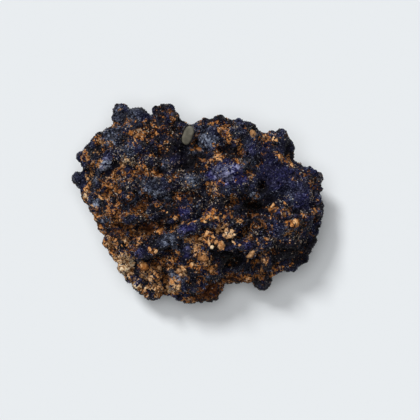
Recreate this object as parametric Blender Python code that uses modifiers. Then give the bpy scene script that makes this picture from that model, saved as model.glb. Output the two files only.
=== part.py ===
"""Azurite specimen: knobbly azurite and iron-stained clay grown together as one lump, with a chip of grey
stone lodged in the cleft between its two halves.

Run with: blender --background --python part.py
+Z is up, the specimen rests on z = 0, +X is its long way. Tables are in millimetres, meshes in metres.
"""

import math
from collections import namedtuple

import bmesh
import bpy
import numpy as np
from mathutils import Matrix, Vector, noise

MM = 0.001

# Driving sizes, in millimetres.
FUSE_VOXEL = 0.8
HOLLOW_VOXEL = 0.4
SKIN_VOXEL = 0.62
LUMP_ROUGHNESS = 0.09  # share of a lump's radius
LUMP_GRAIN = 0.42  # bumps across a lump, per millimetre of its radius
TRIANGLES = 9900
CHIP_GAP = 0.3
CORE_SUBDIVISIONS = 4
LUMP_SUBDIVISIONS = 3
NODULE_SUBDIVISIONS = 2
TURN_PER_LUMP = 37.0  # degrees about SPIN_AXIS, so that no two lumps show the same facets
SPIN_AXIS = Vector((1, 2, 3))
NOISE_STEP = Vector((1.7, 0.9, 2.3))  # from one lump to the next
BASE_SLAB = (200.0, 200.0, 40.0)  # what cuts the underside flat at z = 0

# Nodules: the small round growths scattered over the whole skin.
NODULE_SEED = 11
NODULES = 520
NODULE_RADII = (1.1, 2.4)
NODULE_SPACING = 2.1
TRIES_PER_NODULE = 8
NODULE_SUNK = 0.30  # how far the middle lies under the skin, as a share of the radius
NODULE_SUNK_ON_RIM = 0.72  # the same on the steep sides of the rim, whose lumps already give the form
RIM_FROM = 9.0  # the rim's lower edge
STEEP = 0.5  # a side whose normal rises less than this counts as steep
WEST_BALL = Vector((-39.9, 8.9))  # the ball at the west end stays smooth, with no nodules this near, in mm:
BARE_ROUND_BALL = 4.2

Lump = namedtuple("Lump", "x y top rx ry rz turn")


def lump(x, y, top, rx, ry=None, rz=None, turn=0.0):
    """One round growth: its place, the height of its top, its half sizes and its turn about Z in degrees."""
    return Lump(x, y, top, rx, ry or rx, rz or min(rx, ry or rx), turn)


CORE = (
    lump(-16, 8, 24.5, 21, 18.5, 13.5, 8),
    lump(-24, 2, 20.5, 12, 12.5, 11),
    lump(15, 8, 28.5, 18.5, 17, 16.5),
    lump(28, 3, 23.5, 11, 13, 12.5, 10),
    lump(1, -11, 26, 19, 15, 14.5),
    lump(-2, 6, 26, 16, 17, 16),
    lump(-17, -14, 17.5, 10.5, 13.5, 9.5, 25),
    lump(25, -8, 23, 13, 11.5, 12, -15),
    lump(-2, -23, 17, 11, 7, 8.5),
    lump(2, -1, 12, 26, 16, 12),
)

# The rim, lump by lump, anticlockwise from the ball at the west end.
RIM = (
    lump(-39.9, 8.9, 14.5, 2.1, 2.4),
    lump(-36.6, 9.3, 14.0, 2.1),
    lump(-37.8, 5.7, 13.5, 1.9),
    lump(-36.6, 2.7, 13.5, 2.3),
    lump(-33.6, -0.4, 14.5, 2.7),
    lump(-32.3, -3.6, 15.0, 2.4),
    lump(-31.4, -6.6, 14.5, 2.2),
    lump(-31.2, -8.3, 13.0, 1.5),
    lump(-29.4, -12.2, 15.5, 2.3),
    lump(-27.6, -15.2, 14.5, 2.2),
    lump(-26.6, -17.4, 13.0, 1.9),
    lump(-24.4, -20.7, 16.0, 2.3),
    lump(-22.0, -23.7, 14.5, 2.0),
    lump(-20.0, -26.3, 13.0, 2.0),
    lump(-18.3, -28.2, 12.0, 1.8),
    lump(-15.5, -29.7, 11.5, 2.4),
    lump(-13.6, -29.0, 11.5, 2.2, 2.6),
    lump(-10.0, -29.0, 11.5, 1.4),
    lump(-8.2, -28.0, 12.5, 2.6),
    lump(-5.6, -29.0, 13.5, 3.2),
    lump(-2.6, -29.7, 13.5, 3.5),
    lump(1.0, -29.0, 13.0, 3.3),
    lump(4.0, -29.0, 12.5, 2.8),
    lump(6.4, -27.7, 12.0, 2.4),
    lump(10.4, -24.0, 13.0, 2.4),
    lump(13.6, -23.7, 12.5, 2.7),
    lump(16.6, -24.0, 13.0, 2.4),
    lump(21.6, -25.6, 12.5, 2.8, 3.1, 3.0),
    lump(23.4, -24.4, 13.5, 1.4, 3.0, 1.8),
    lump(26.0, -21.0, 14.0, 2.6),
    lump(29.6, -19.7, 13.5, 2.6),
    lump(32.2, -19.0, 13.5, 2.4),
    lump(34.6, -17.4, 13.5, 2.3),
    lump(36.0, -14.4, 14.0, 2.3),
    lump(37.0, -11.4, 15.0, 2.6),
    lump(38.2, -8.4, 15.5, 2.1),
    lump(38.7, -5.7, 16.0, 2.3),
    lump(39.0, -2.7, 16.5, 2.7),
    lump(39.5, 0.3, 16.5, 2.5),
    lump(39.0, 2.7, 17.0, 2.1),
    lump(39.3, 5.3, 17.0, 1.9),
    lump(39.7, 9.0, 16.0, 1.9),
    lump(38.0, 9.9, 17.0, 2.0),
    lump(36.9, 12.2, 15.5, 1.2),
    lump(35.3, 11.0, 17.5, 1.8),
    lump(33.0, 12.4, 17.0, 1.8),
    lump(29.7, 16.3, 18.5, 2.4),
    lump(29.4, 19.0, 20.0, 2.7),
    lump(28.6, 20.8, 19.5, 2.1),
    lump(27.6, 22.6, 20.5, 2.4),
    lump(24.4, 22.1, 19.5, 2.6),
    lump(22.4, 21.8, 19.0, 2.1),
    lump(17.7, 24.6, 20.0, 2.4),
    lump(16.0, 25.3, 21.0, 2.6),
    lump(13.4, 25.7, 21.5, 2.8),
    lump(10.6, 25.4, 20.5, 2.8),
    lump(7.3, 27.2, 19.0, 2.6),
    lump(5.3, 26.1, 18.5, 2.4),
    lump(2.5, 27.2, 17.0, 1.6),
    lump(0.6, 25.2, 18.5, 2.5),
    lump(-2.4, 24.7, 17.5, 2.3),
    lump(-5.0, 25.5, 19.5, 2.4),
    lump(-7.2, 28.1, 20.5, 2.0),
    lump(-9.3, 31.2, 20.0, 2.3),
    lump(-11.4, 31.2, 19.5, 2.1),
    lump(-13.2, 31.0, 18.5, 1.8),
    lump(-19.9, 28.2, 21.5, 4.2, 4.1, 4.2),
    lump(-24.4, 31.2, 18.5, 1.9),
    lump(-25.6, 31.0, 19.0, 2.4),
    lump(-26.0, 28.4, 18.5, 2.3),
    lump(-27.2, 24.6, 19.0, 2.0),
    lump(-29.1, 23.2, 18.5, 2.5),
    lump(-31.6, 22.0, 18.5, 2.3),
    lump(-33.2, 20.8, 18.0, 2.0),
    lump(-34.3, 19.0, 17.0, 2.2),
    lump(-36.6, 17.0, 16.5, 2.2),
    lump(-38.3, 16.0, 15.5, 2.0),
    lump(-37.3, 14.0, 15.5, 2.0),
    lump(-36.6, 12.7, 15.0, 1.6),
)

# The forms that stand on the upper face.
UPPER = (
    lump(-11.0, 27.3, 22.5, 4.4, 4.2),
    lump(-13.5, 24.0, 24.5, 5.5, 4.5),
    lump(-20.5, 23.2, 25.0, 5.2, 4.6),
    lump(-27.6, 20.6, 21.5, 4.8, 3.8, 3.8, -35),
    lump(-33.2, 15.5, 19.0, 4.4, 4.0),
    lump(-30.0, 13.6, 23.5, 2.3, 4.2, 3.2, -20),
    lump(-22.4, 16.6, 27.2, 5.0, 3.6, 4.0),
    lump(-16.4, 19.2, 26.4, 4.6, 3.6, 4.0),
    lump(-9.2, 20.0, 25.2, 4.6, 4.2),
    lump(-3.3, 22.4, 24.3, 2.9, 3.9, 3.6, -20),
    lump(-8.0, 13.2, 27.0, 4.4, 3.8),
    lump(-15.0, 13.0, 27.4, 4.0, 3.4),
    lump(-23.0, 9.4, 26.0, 5.0, 3.6),
    lump(-30.2, 6.6, 22.4, 4.2, 4.6),
    lump(-22.6, 3.6, 27.0, 4.4, 3.6, 3.6, -30),
    lump(-14.4, 6.4, 28.6, 3.6, 4.2, 3.8),
    lump(-9.8, 6.4, 30.2, 4.6, 3.8, 4.0, -20),
    lump(-2.8, 8.0, 31.0, 4.2, 3.6, 3.8, 15),
    lump(-27.0, -2.2, 22.6, 4.6, 4.2),
    lump(-21.4, -4.6, 24.6, 4.0, 2.5, 3.0),
    lump(-11.0, -2.6, 29.2, 6.0, 3.6, 3.8, -12),
    lump(-3.6, -1.8, 29.6, 3.8, 4.4, 4.0),
    lump(-19.0, -13.2, 26.4, 3.6, 3.2, 3.2),
    lump(-15.2, -14.8, 26.6, 4.6, 3.0, 3.2, 5),
    lump(-9.0, -11.0, 31.0, 5.0, 3.0, 3.6, 22),
    lump(-2.6, -7.8, 31.6, 5.0, 2.7, 3.4, 20),
    lump(4.4, -5.4, 31.8, 5.0, 2.8, 3.4, 18),
    lump(12.4, -4.2, 33.0, 4.4, 3.8, 3.8, 15),
    lump(6.4, -1.4, 31.0, 3.8, 3.0),
    lump(4.6, -10.6, 30.2, 3.8, 3.4, 3.2),
    lump(10.2, -9.6, 31.0, 2.3, 1.9, 1.9),
    lump(7.6, -13.4, 30.0, 2.0, 2.2, 2.0),
    lump(11.6, -12.6, 29.6, 2.8, 2.0, 2.2),
    lump(4.6, -13.8, 29.4, 1.2, 1.2, 1.3),
    lump(1.8, -17.2, 28.0, 2.6, 2.2, 2.4, -30),
    lump(-3.4, -15.6, 27.0, 2.6, 5.0, 3.6, -12),
    lump(-1.2, -20.4, 25.0, 4.4, 3.2),
    lump(4.2, -22.0, 23.4, 3.0, 2.8),
    lump(-7.6, -21.0, 21.5, 2.8, 3.6, 3.2),
    lump(-5.6, -25.2, 21.0, 4.2, 4.0, 4.0),
    lump(0.0, -26.2, 19.6, 4.2, 3.6),
    lump(-17.4, -20.4, 21.0, 2.7, 2.8, 2.6),
    lump(-14.2, -23.4, 20.4, 2.8, 2.8, 2.6),
    lump(-13.8, -27.0, 17.4, 2.8, 2.6, 2.6),
    lump(-23.2, -15.4, 20.0, 3.4, 3.2),
    lump(-25.9, -10.8, 20.2, 3.9, 3.0),
    lump(10.4, 12.0, 34.4, 6.4, 4.8, 5.0, -18),
    lump(15.6, 6.4, 33.2, 4.6, 4.4, 4.6),
    lump(8.8, 4.6, 31.2, 4.4, 3.6, 3.8),
    lump(5.4, 14.6, 30.4, 3.2, 3.0),
    lump(5.6, 21.4, 27.8, 4.4, 4.6, 4.2),
    lump(12.6, 22.0, 27.6, 3.6, 4.0, 3.8),
    lump(17.6, 20.6, 27.2, 3.6, 3.4),
    lump(17.4, 15.6, 29.4, 3.4, 3.6, 3.4),
    lump(23.0, 14.4, 26.6, 5.2, 4.6, 4.4, -40),
    lump(27.4, 9.0, 26.2, 5.6, 4.8, 4.4, -40),
    lump(32.4, 3.6, 23.6, 5.2, 5.4, 4.4),
    lump(30.4, 11.0, 22.0, 3.2, 3.0),
    lump(35.4, 8.0, 20.6, 3.2, 3.0),
    lump(26.2, 19.8, 22.6, 3.8, 3.4),
    lump(26.0, -2.4, 26.4, 4.4, 3.4, 3.6),
    lump(31.2, -5.8, 26.6, 3.2, 3.2, 3.0),
    lump(25.0, -7.2, 28.0, 4.4, 4.0, 3.8),
    lump(19.2, -6.8, 29.0, 3.0, 3.2, 3.0),
    lump(21.2, -12.2, 27.0, 4.2, 3.4, 3.6),
    lump(15.6, -12.6, 28.0, 3.2, 2.8),
    lump(17.4, -16.2, 25.6, 2.2, 1.7, 1.9),
    lump(22.4, -17.6, 22.6, 2.2, 4.2, 2.8, 5),
    lump(29.8, -12.4, 24.0, 4.2, 3.6, 3.8),
    lump(20.5, -20.4, 17.0, 3.0),
    lump(15.4, -19.2, 14.5, 4.6, 3.8, 6.0),
    lump(35.0, -4.4, 22.2, 3.2, 4.6, 3.4),
)

# The underside: rows of lumps that step in under the rim, each row one lump for every second one of the rim.
# A row is (how far it stays inside the rim lumps' middles, height of its middles, radius).
UNDER_ROWS = ((0.0, 8.5, 3.6), (2.5, 5.0, 4.2), (6.0, 2.0, 4.6))
UNDER_SEED = 5
UNDER_SCATTER = 0.9
UNDER_SIZES = (0.75, 1.2)  # smallest and largest share of the row's radius
UNDER_FLATNESS = 0.8

# Hollows cut into the fused lumps: place, height of the middle, half sizes.
Hollow = namedtuple("Hollow", "name x y middle rx ry rz turn")
HOLLOWS = (
    Hollow("cleft_north", -1.4, 18.0, 27.0, 1.9, 6.0, 5.0, 12),
    Hollow("cleft_middle", 0.8, 12.6, 27.5, 2.0, 3.2, 5.0, -10),
    Hollow("north_pit", 11.6, 17.4, 30.0, 3.2, 1.5, 6.0, -12),
    Hollow("slot_by_velvet", 21.0, 6.0, 29.0, 1.2, 3.8, 7.5, 12),
    Hollow("middle_pit", 18.6, -0.6, 29.0, 3.4, 1.9, 7.0, -12),
    Hollow("pit_tail", 15.6, -8.8, 30.0, 0.9, 3.4, 4.0, -35),
    Hollow("west_cave", -16.4, -6.6, 24.5, 2.6, 2.3, 4.5, -20),
    Hollow("west_hole", -16.6, 2.4, 28.0, 1.5, 1.7, 4.5, 0),
    Hollow("west_ledge", -24.5, -8.6, 21.0, 7.5, 1.1, 3.2, 2),
    Hollow("under_ridge", -10.6, -16.2, 27.0, 4.6, 1.3, 5.0, 18),
    Hollow("south_pit", 12.0, -19.2, 23.5, 3.8, 2.2, 8.0, 8),
    Hollow("south_cavity", 3.2, -28.4, 14.0, 2.2, 1.9, 3.2, 15),
    Hollow("south_notch", -11.3, -29.6, 12.0, 1.0, 3.4, 12.0, -10),
    Hollow("north_notch", -15.9, 31.6, 14.0, 0.8, 1.8, 12.0, 8),
    Hollow("east_shade", 29.4, -15.2, 22.0, 4.6, 0.9, 4.0, 10),
)

# The chip of grey stone: a flat oval tablet, leaning on the side of the cleft.
CHIP = dict(x=-3.1, y=22.7, z=24.3, length=6.4, width=3.3, thickness=1.9, turn=-20.0, tip=14.0, lean=-10.0)
CHIP_FLATNESS = 0.45  # the lower, the flatter its two faces
CHIP_CORNERS = 0.10
CHIP_WOBBLE = 0.07
CHIP_GRAIN = 1.8
CHIP_NOISE = Vector((4, 7, 1))

PALETTE = {
    "azurite": ((0.020, 0.024, 0.060, 1.0), 0.45),
    "grey_stone": ((0.150, 0.150, 0.105, 1.0), 0.75),
}


def clear_scene():
    for old in list(bpy.data.objects):
        bpy.data.objects.remove(old)


def new_collection(name):
    made = bpy.data.collections.new(name)
    bpy.context.scene.collection.children.link(made)
    return made


def new_object(name, mesh, collection):
    made = bpy.data.objects.new(name, mesh)
    collection.objects.link(made)
    return made


def material(name):
    colour, roughness = PALETTE[name]
    made = bpy.data.materials.new(name)
    made.use_nodes = True
    shader = made.node_tree.nodes["Principled BSDF"]
    shader.inputs["Base Color"].default_value = colour
    shader.inputs["Roughness"].default_value = roughness
    made.diffuse_color = colour
    return made


def unit_ball(subdivisions):
    """Points and faces of an icosphere of radius 1."""
    shape = bmesh.new()
    bmesh.ops.create_icosphere(shape, subdivisions=subdivisions, radius=1.0)
    points = [vertex.co.copy() for vertex in shape.verts]
    faces = [[vertex.index for vertex in face.verts] for face in shape.faces]
    shape.free()
    return points, faces


def growths_mesh(name, growths, subdivisions=LUMP_SUBDIVISIONS):
    """One mesh of roughened ellipsoids, in metres. Each growth is (centre, half sizes, turn about Z)."""
    ball_points, ball_faces = unit_ball(subdivisions)
    points, faces = [], []
    for salt, (centre, radii, turn) in enumerate(growths):
        spin = Matrix.Rotation(math.radians(salt * TURN_PER_LUMP), 3, SPIN_AXIS)
        size = Matrix.Rotation(math.radians(turn), 3, "Z") @ Matrix.Diagonal(radii)
        bumps = 1.0 + LUMP_GRAIN * max(radii)
        offset = NOISE_STEP * salt
        first = len(points)
        for point in ball_points:
            ray = spin @ point
            swell = 1.0 + LUMP_ROUGHNESS * noise.noise(ray * bumps + offset)
            points.append((Vector(centre) + size @ ray * swell) * MM)
        faces.extend([first + corner for corner in face] for face in ball_faces)
    mesh = bpy.data.meshes.new(name)
    mesh.from_pydata(points, [], faces)
    return mesh


def underside_growths():
    """The lumps below the rim, placed from the rim's own by a seeded rule."""
    random = np.random.default_rng(UNDER_SEED)
    growths = []
    for row, (inset, height, radius) in enumerate(UNDER_ROWS):
        for one in RIM[row % 2::2]:
            size = radius * random.uniform(*UNDER_SIZES)
            away = math.hypot(one.x, one.y)
            share = 1.0 - (inset + size) / away
            x, y, z = (one.x * share, one.y * share, height) + random.normal(0.0, UNDER_SCATTER, 3)
            growths.append(((x, y, z), (size, size, size * UNDER_FLATNESS), 0.0))
    return growths


def join_into(subject, mesh):
    """Adds the faces of a mesh to the object's own."""
    shape = bmesh.new()
    shape.from_mesh(subject.data)
    shape.from_mesh(mesh)
    shape.to_mesh(subject.data)
    shape.free()


def as_growth(one):
    return (one.x, one.y, one.top - one.rz), (one.rx, one.ry, one.rz), one.turn


def evaluated_mesh(subject):
    """A plain mesh of the object with its modifiers applied."""
    bpy.context.view_layer.update()
    graph = bpy.context.evaluated_depsgraph_get()
    return bpy.data.meshes.new_from_object(subject.evaluated_get(graph))


def bake_modifiers(subject):
    mesh = evaluated_mesh(subject)
    subject.modifiers.clear()
    subject.data = mesh


def keep_outer_skin(mesh):
    """Drops every shell but the one with the most faces, such as a pocket closed in between lumps."""
    shape = bmesh.new()
    shape.from_mesh(mesh)
    left, shells = set(shape.faces), []
    while left:
        shell, front = set(), [left.pop()]
        while front:
            face = front.pop()
            shell.add(face)
            near = {other for edge in face.edges for other in edge.link_faces} & left
            left -= near
            front.extend(near)
        shells.append(shell)
    shells.sort(key=len)
    inner = [face for shell in shells[:-1] for face in shell]
    bmesh.ops.delete(shape, geom=inner, context="FACES")
    shape.to_mesh(mesh)
    shape.free()


def fuse(subject, voxel):
    """Joins everything in the object that overlaps into one skin."""
    remesh = subject.modifiers.new("fuse", "REMESH")
    remesh.mode = "VOXEL"
    remesh.voxel_size = voxel * MM
    bake_modifiers(subject)


def hollow_cutter(collection):
    """All the hollows as one cutter."""
    growths = [((one.x, one.y, one.middle), (one.rx, one.ry, one.rz), one.turn) for one in HOLLOWS]
    print("hollows:", ", ".join(one.name for one in HOLLOWS))
    cutter = as_cutter(new_object("hollows", growths_mesh("hollows", growths), collection))
    fuse(cutter, HOLLOW_VOXEL)
    return cutter


def as_cutter(subject):
    subject.hide_render = True
    subject.display_type = "WIRE"
    return subject


def cut(subject, cutter):
    boolean = subject.modifiers.new(cutter.name, "BOOLEAN")
    boolean.operation = "DIFFERENCE"
    boolean.solver = "EXACT"
    boolean.object = cutter
    bake_modifiers(subject)


def nodule_places(mesh):
    """Seeded places spread over the skin, no two closer than the spacing: (point, normal, radius) in mm."""
    random = np.random.default_rng(NODULE_SEED)
    areas = np.array([face.area for face in mesh.polygons])
    picks = random.choice(len(areas), size=NODULES * TRIES_PER_NODULE, p=areas / areas.sum())
    places = []
    for pick in picks:
        face = mesh.polygons[pick]
        point = face.center / MM
        if (point.xy - WEST_BALL).length < BARE_ROUND_BALL:
            continue
        if all((point - other).length > NODULE_SPACING for other, _, _ in places):
            radius = NODULE_RADII[0] + (NODULE_RADII[1] - NODULE_RADII[0]) * random.random() ** 2
            places.append((point, face.normal.copy(), radius))
        if len(places) == NODULES:
            break
    return places


def add_nodules(subject):
    """Grows the small round nodules on the skin."""
    growths = []
    for point, normal, radius in nodule_places(subject.data):
        on_rim = abs(normal.z) < STEEP and point.z > RIM_FROM
        sunk = NODULE_SUNK_ON_RIM if on_rim else NODULE_SUNK
        growths.append((point - normal * radius * sunk, (radius,) * 3, 0.0))
    join_into(subject, growths_mesh("nodules", growths, NODULE_SUBDIVISIONS))


def thin_out(subject):
    """Brings the skin down to the triangle budget."""
    decimate = subject.modifiers.new("thin", "DECIMATE")
    decimate.ratio = TRIANGLES / (2 * len(subject.data.polygons))
    decimate.use_collapse_triangulate = True
    bake_modifiers(subject)


def base_cutter(collection):
    """A slab whose top is z = 0: what the specimen rests on."""
    size = Vector(BASE_SLAB) * MM
    place = Matrix.Translation((0, 0, -size.z / 2)) @ Matrix.Diagonal(size).to_4x4()
    shape = bmesh.new()
    bmesh.ops.create_cube(shape, size=1.0, matrix=place)
    mesh = bpy.data.meshes.new("base_cut")
    shape.to_mesh(mesh)
    shape.free()
    return as_cutter(new_object("base_cut", mesh, collection))


def chip_mesh(name, grow=0.0):
    """The oval tablet with uneven, slightly domed faces. grow makes it larger on every side, in mm."""
    shape = bmesh.new()
    bmesh.ops.create_icosphere(shape, subdivisions=LUMP_SUBDIVISIONS, radius=1.0)
    half = Vector((CHIP["width"], CHIP["length"], CHIP["thickness"])) / 2
    for vertex in shape.verts:
        x, y, z = vertex.co
        edge = math.hypot(x, y)
        flat = math.copysign(abs(z) ** CHIP_FLATNESS, z)
        blunt = 1.0 + CHIP_CORNERS * abs(math.sin(2.0 * math.atan2(y, x))) * edge
        wobble = 1.0 + CHIP_WOBBLE * noise.noise(vertex.co * CHIP_GRAIN + CHIP_NOISE)
        size = half * wobble + Vector((grow, grow, grow))
        vertex.co = Vector((x * blunt * size.x, y * blunt * size.y, flat * size.z)) * MM
    mesh = bpy.data.meshes.new(name)
    shape.to_mesh(mesh)
    shape.free()
    turn = Matrix.Rotation(math.radians(CHIP["turn"]), 4, "Z")
    tip = Matrix.Rotation(math.radians(CHIP["tip"]), 4, "X")
    lean = Matrix.Rotation(math.radians(CHIP["lean"]), 4, "Y")
    place = Matrix.Translation(Vector((CHIP["x"], CHIP["y"], CHIP["z"])) * MM)
    mesh.transform(place @ turn @ tip @ lean)
    return mesh


def centre_over_origin(subjects, lead):
    """Moves the meshes so that the lead's box is centred on the Z axis."""
    corners = np.array([vertex.co for vertex in lead.data.vertices])
    middle = (corners.min(0) + corners.max(0)) / 2
    shift = Matrix.Translation((-middle[0], -middle[1], 0.0))
    for subject in subjects:
        subject.data.transform(shift)
    print("centred by", np.round(middle[:2] / MM, 2), "mm")


def build():
    clear_scene()
    specimen = new_collection("azurite_specimen")
    cutters = new_collection("cutters")
    core = growths_mesh("core", map(as_growth, CORE), CORE_SUBDIVISIONS)
    mass = new_object("azurite_cluster", core, specimen)
    join_into(mass, growths_mesh("lumps", map(as_growth, RIM + UPPER)))
    join_into(mass, growths_mesh("underside", underside_growths()))
    fuse(mass, FUSE_VOXEL)
    keep_outer_skin(mass.data)
    cut(mass, hollow_cutter(cutters))
    add_nodules(mass)
    fuse(mass, SKIN_VOXEL)
    keep_outer_skin(mass.data)
    thin_out(mass)
    cut(mass, base_cutter(cutters))
    cut(mass, as_cutter(new_object("chip_socket", chip_mesh("chip_socket", CHIP_GAP), cutters)))
    keep_outer_skin(mass.data)
    chip = new_object("stone_chip", chip_mesh("stone_chip"), specimen)
    mass.data.materials.clear()
    mass.data.materials.append(material("azurite"))
    chip.data.materials.append(material("grey_stone"))
    chip.data.shade_smooth()
    centre_over_origin((mass, chip), mass)
    print("azurite_cluster has", len(mass.data.polygons), "faces")


build()
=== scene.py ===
# %% [markdown]
# # An azurite specimen
# A lump of azurite and orange, iron-stained clay that grew together. The azurite forms knobs and a crust of
# tiny dark blue crystals, and the clay fills the gaps and shows in patches. The packed model gives the
# lumps, ledges and pits as two plain solids. This lesson dresses them: first a fine skin, then crystals,
# crumbs and flakes on it, then their finishes.

# %% The packed model
import math

import bmesh
import bpy
import numpy as np
from mathutils import Matrix, Vector, noise


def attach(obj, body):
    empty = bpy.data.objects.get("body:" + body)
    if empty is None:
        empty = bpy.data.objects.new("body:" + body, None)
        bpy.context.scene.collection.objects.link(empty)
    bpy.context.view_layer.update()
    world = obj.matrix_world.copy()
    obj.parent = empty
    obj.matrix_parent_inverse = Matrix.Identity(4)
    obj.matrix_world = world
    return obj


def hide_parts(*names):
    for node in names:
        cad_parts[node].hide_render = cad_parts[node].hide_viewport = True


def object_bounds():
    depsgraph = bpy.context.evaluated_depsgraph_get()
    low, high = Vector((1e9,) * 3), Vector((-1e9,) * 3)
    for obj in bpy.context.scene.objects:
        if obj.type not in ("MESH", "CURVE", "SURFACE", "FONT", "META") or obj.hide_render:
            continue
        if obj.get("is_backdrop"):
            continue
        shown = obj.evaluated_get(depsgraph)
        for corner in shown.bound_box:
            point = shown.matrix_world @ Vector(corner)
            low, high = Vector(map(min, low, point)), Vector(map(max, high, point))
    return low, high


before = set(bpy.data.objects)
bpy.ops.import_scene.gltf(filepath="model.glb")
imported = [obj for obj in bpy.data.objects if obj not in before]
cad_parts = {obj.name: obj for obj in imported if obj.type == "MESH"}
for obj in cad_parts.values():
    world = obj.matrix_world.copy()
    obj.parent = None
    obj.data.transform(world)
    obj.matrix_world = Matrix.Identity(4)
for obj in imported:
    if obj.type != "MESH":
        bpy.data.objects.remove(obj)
cad_low, cad_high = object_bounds()
MM = 0.001
SIZE = cad_high - cad_low
print("the model is", [round(side / MM, 1) for side in SIZE], "mm")


# %% [markdown]
# ## A short way to write node trees
# Geometry and shader trees are both lists of nodes and links. This small helper adds one node for each
# call, feeds its sockets by name with a value or a link, and hands the node back, so that a tree reads like
# a recipe.

# %% The node helper
class Recipe:
    """A node tree written one line for each node."""

    def __init__(self, name, kind, inputs=(), outputs=()):
        self.tree = bpy.data.node_groups.new(name, kind)
        for label, socket, value in inputs:
            made = self.tree.interface.new_socket(label, in_out="INPUT", socket_type=socket)
            if value is not None:
                made.default_value = value
        for label, socket in outputs:
            self.tree.interface.new_socket(label, in_out="OUTPUT", socket_type=socket)
        self.given = self.tree.nodes.new("NodeGroupInput").outputs
        self.result = self.tree.nodes.new("NodeGroupOutput").inputs

    def add(self, kind, settings=None, **feeds):
        made = self.tree.nodes.new(kind)
        for key, value in (settings or {}).items():
            setattr(made, key, value)
        for key, value in feeds.items():
            self.feed(made.inputs[key.replace("_", " ")], value)
        return made

    def feed(self, socket, value):
        if isinstance(value, bpy.types.NodeSocket):
            self.tree.links.new(value, socket)
        else:
            socket.default_value = value

    def math(self, operation, first, second=0.0, clamp=False):
        made = self.add("ShaderNodeMath", {"operation": operation, "use_clamp": clamp})
        self.feed(made.inputs[0], first)
        self.feed(made.inputs[1], second)
        return made.outputs[0]

    def vector(self, operation, first, second=None, scale=None):
        made = self.add("ShaderNodeVectorMath", {"operation": operation})
        self.feed(made.inputs[0], first)
        if second is not None:
            self.feed(made.inputs[1], second)
        if scale is not None:
            self.feed(made.inputs["Scale"], scale)
        return made.outputs[0]

    def smooth_step(self, value, low, high, to_low=0.0, to_high=1.0):
        made = self.add("ShaderNodeMapRange", {"interpolation_type": "SMOOTHSTEP"})
        for key, number in (("Value", value), ("From Min", low), ("From Max", high),
                            ("To Min", to_low), ("To Max", to_high)):
            self.feed(made.inputs[key], number)
        return made.outputs["Result"]

    def noise(self, place, scale, detail=2.0, roughness=0.55):
        made = self.add("ShaderNodeTexNoise", Vector=place, Scale=scale, Detail=detail, Roughness=roughness)
        return made.outputs[0]

    def mix(self, share, first, second):
        made = self.add("ShaderNodeMix", {"data_type": "RGBA"})
        self.feed(made.inputs[0], share)
        self.feed(made.inputs[6], first)
        self.feed(made.inputs[7], second)
        return made.outputs[2]

    def ramp(self, value, *stops):
        made = self.add("ShaderNodeValToRGB", Fac=value)
        points = made.color_ramp.elements
        while len(points) < len(stops):
            points.new(0.5)
        for point, (place, colour) in zip(points, stops):
            point.position = place
            point.color = (*colour, 1.0)
        return made.outputs["Color"]


print("a recipe can add", ", ".join(name for name in vars(Recipe) if not name.startswith("_")))


# %% [markdown]
# ## Helpers for objects and meshes
# A modifier only makes a mesh when it is evaluated. Each piece is finished as a plain mesh, so one helper
# turns what the modifiers make into the object's own mesh, and another puts a tree on an object with its
# values. Big meshes are read as arrays, because a loop over 100,000 points is slow in Python.

# %% The helpers for meshes
def evaluated_mesh(subject, name):
    """A plain mesh of what the object's modifiers make."""
    bpy.context.view_layer.update()
    graph = bpy.context.evaluated_depsgraph_get()
    mesh = bpy.data.meshes.new_from_object(subject.evaluated_get(graph))
    mesh.name = name
    return mesh


def new_object(name, mesh):
    made = bpy.data.objects.new(name, mesh)
    bpy.context.scene.collection.objects.link(made)
    return made


def bake_modifiers(subject):
    """Turns what the modifiers make into the object's own mesh."""
    mesh = evaluated_mesh(subject, subject.name)
    subject.modifiers.clear()
    subject.data = mesh


def add_tree(subject, recipe, **values):
    """Puts a geometry tree on the object. Inputs are set by their sockets' identifiers, looked up by name."""
    modifier = subject.modifiers.new(recipe.tree.name, "NODES")
    modifier.node_group = recipe.tree
    for item in recipe.tree.interface.items_tree:
        key = item.name.replace(" ", "_")
        if item.in_out == "INPUT" and key in values:
            modifier[item.identifier] = values[key]


def triangles(mesh):
    return sum(len(face.vertices) - 2 for face in mesh.polygons)


def rows(items, key="co"):
    """One vector of each item, as the rows of an array."""
    values = np.empty(len(items) * 3)
    items.foreach_get(key, values)
    return values.reshape(-1, 3)


def read(mesh, name):
    """The values that a mesh stores under a name, one for each point."""
    values = np.empty(len(mesh.vertices), np.float32)
    mesh.attributes[name].data.foreach_get("value", values)
    return values


def store(mesh, name, values):
    layer = mesh.attributes.new(name, "FLOAT", "POINT")
    layer.data.foreach_set("value", values.astype(np.float32))


print("the packed cluster has", triangles(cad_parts["azurite_cluster"].data), "triangles")


# %% [markdown]
# ## The skin
# The packed cluster is a faceted solid. Its copy is welded, then covered by a voxel remesh fine enough to
# carry forms of a millimetre, and smoothed so that the flat facets go. The remesh suits a lump that
# overhangs itself everywhere, where a subdivided copy would keep the facets' creases. The round knobs that
# make the outline are drawn again as true balls first, and the remesh melts them into the rest.

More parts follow.
